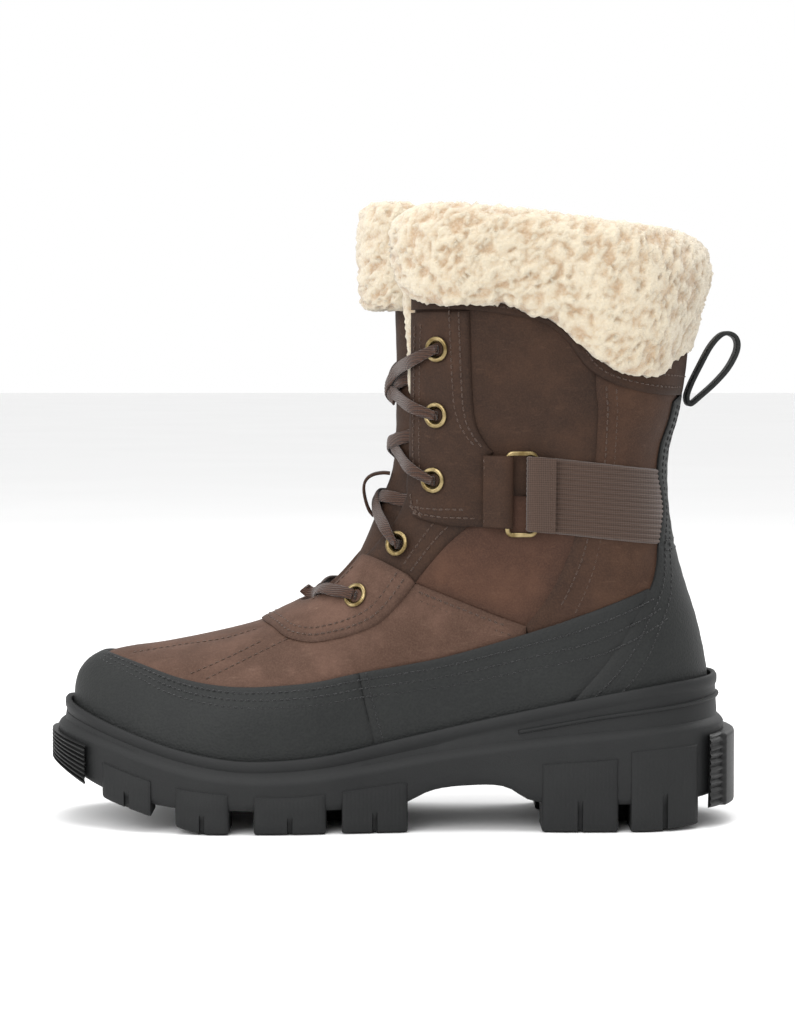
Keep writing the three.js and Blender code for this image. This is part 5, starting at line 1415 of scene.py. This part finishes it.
def stitching():
    skin, faced = 0.12, GAP + OVERLAY + 0.1
    rand = RAND_TOP[(RAND_TOP[:, 0] > -214) & (RAND_TOP[:, 0] < 9)]
    for row in rows_beside(rand, 2.2, 4.6, 7.0):
        sew(BLACK_THREAD, row, faced)
    for row in rows_beside(RAND_SEAM, -2.0):
        sew(BLACK_THREAD, row, faced)
    for row in rows_beside(COUNTER_EDGE[2:-1], 2.2, 4.8):
        sew(BLACK_THREAD, row, faced)
    sew(BLACK_THREAD, shifted(P(run([[17.5, 114.6], [23, 114.9], [31, 115.3]])), 0), faced)
    sew(BLACK_THREAD, shifted(P(run([[17.5, 118.4], [23, 118.7], [31, 119.1]])), 0), faced)
    for row in rows_beside(OVERLAY_EDGE[2:-1], -2.1, -4.5):
        sew(BROWN_THREAD, row, faced)
    for row in rows_beside(FACING_SEAM[1:-1], 2.3, 4.7):
        sew(BROWN_THREAD, row, skin)
    for row in rows_beside(VAMP_SEAM[1:-6], 2.3, 4.7):
        sew(BROWN_THREAD, row, skin)
    for row in rows_beside(DIAGONAL_SEAM[1:-8], -2.2, -4.6):
        sew(BROWN_THREAD, row, skin)
    upper = REAR_SEAM[(REAR_SEAM[:, 1] > 151) & (REAR_SEAM[:, 1] < 186)]
    for row in rows_beside(upper, -2.2, -4.6):
        sew(BROWN_THREAD, row, skin)
    stay_front = THROAT[(THROAT[:, 1] > 147) & (THROAT[:, 1] < 212)]
    for row in rows_beside(stay_front, 2.2, 4.4):
        sew(BROWN_THREAD, row, faced)
    for row in rows_beside(EYESTAY_REAR[3:], -2.1, -4.4):
        sew(BROWN_THREAD, row, faced)
    for row in rows_beside(EYESTAY_BOTTOM[8:-2], -2.1, -4.4):
        sew(BROWN_THREAD, row, faced)
    for row in rows_beside(COLLAR_EDGE[10:-2], -2.2):
        sew(BROWN_THREAD, row, faced)
    for row in rows_beside(run([[14.7, 187.3], [20, 187], [26.9, 186.1]]), 0):
        sew(BROWN_THREAD, row, faced)
    for points in ([[-203.7, 69.7], [-183.5, 73.1], [-164.6, 76.4], [-150, 80.6]],
                   [[-178.1, 63], [-162.5, 69.7], [-149.1, 76]], [[-171.4, 61.3], [-154.1, 69.7], [-137.3, 77.7]]):
        sew(BROWN_THREAD, P(run(points)), 0.55)
    low_throat = THROAT[(THROAT[:, 1] > 92.5) & (THROAT[:, 1] < 109)]
    for row in rows_beside(low_throat, 2.0):
        sew(BROWN_THREAD, row, faced)
    for x in (-53.2, -55.4):
        sew(BROWN_THREAD, P(np.array([[x, strap_height(x) - 13.4], [x, strap_height(x) + 13.4]])), 3.75)
    for x in (-29.4, -31.6):
        sew(BROWN_THREAD, P(np.array([[x, strap_height(x) - 14], [x, strap_height(x) + 14]])), 4.6)
    finish_stitching()


# ---- Pieces that keep their CAD shape -----------------------------------------------------------------------------------
def carried_over():
    kept = {"midsole": FOAM, "shank": STEEL, "insole_board": BOARD, "toe_puff": BOARD, "heel_stiffener": BOARD,
            "insulation": FOAM}
    for name, material in kept.items():
        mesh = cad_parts[name].data
        mesh.materials.clear()
        mesh.materials.append(material)


# ---- Floor, light and camera -----------------------------------------------------------------------------------------------
def surroundings():
    """A pale floor under an even white sky, soft lights from in front and above, and a long lens."""
    floor = Finish("pale_floor", Roughness=0.7, Specular_IOR_Level=0.15)
    floor.set(Base_Color=floor.blend(floor.noise(3, 2), (0.86, 0.86, 0.86, 1), (0.9, 0.9, 0.9, 1)))
    mesh = bpy.data.meshes.new("floor")
    reach = 12.0
    points = [(x, y, -0.0002) for x, y in ((-reach, -reach), (reach, -reach), (reach, reach), (-reach, reach))]
    mesh.from_pydata(points, [], [(0, 1, 2, 3)])
    mesh.materials.append(floor.material)
    obj = bpy.data.objects.new("floor", mesh)
    bpy.context.collection.objects.link(obj)

    world = bpy.data.worlds.new("studio")
    world.use_nodes = True
    world.node_tree.nodes["Background"].inputs["Color"].default_value = (1.0, 1.0, 1.0, 1.0)
    world.node_tree.nodes["Background"].inputs["Strength"].default_value = 1.0
    bpy.context.scene.world = world
    for name, place, size, power in (("front", (-0.7, -1.5, 1.0), 1.3, 19), ("top", (-0.1, -0.2, 1.6), 1.4, 19),
                                     ("toe", (-1.6, -0.5, 0.7), 0.9, 5), ("back", (0.9, 0.9, 1.1), 1.0, 9)):
        data = bpy.data.lights.new(name, "AREA")
        data.shape, data.size, data.energy = "DISK", size, power
        light = bpy.data.objects.new(name, data)
        light.location = place
        light.rotation_euler = (Vector((-0.09, 0, 0.1)) - Vector(place)).to_track_quat("-Z", "Y").to_euler()
        bpy.context.collection.objects.link(light)

    camera = bpy.data.objects.new("camera", bpy.data.cameras.new("camera"))
    camera.data.lens, camera.data.sensor_width = 150, 36
    wide, elevation = 0.3243, math.radians(3)
    camera.data.sensor_fit = "HORIZONTAL"
    away = wide * camera.data.lens / camera.data.sensor_width
    aim = Vector((-0.0922, -0.045, 0.1294))
    camera.location = aim + Vector((0, -math.cos(elevation), math.sin(elevation))) * away
    camera.rotation_euler = (aim - camera.location).to_track_quat("-Z", "Y").to_euler()
    camera.data.clip_end = 20
    bpy.context.collection.objects.link(camera)
    scene = bpy.context.scene
    scene.camera = camera
    scene.view_settings.view_transform = "Standard"


surroundings()
carried_over()
upper_panels()
for way, side in ((-1, "outer"), (1, "inner")):
    strap(way, side)
eyelets()
tongue_parts()
lace_keeper()
cuff()
lining()
throat_edges()
footbed()
sole()
lace()
pull_loop()
stitching()
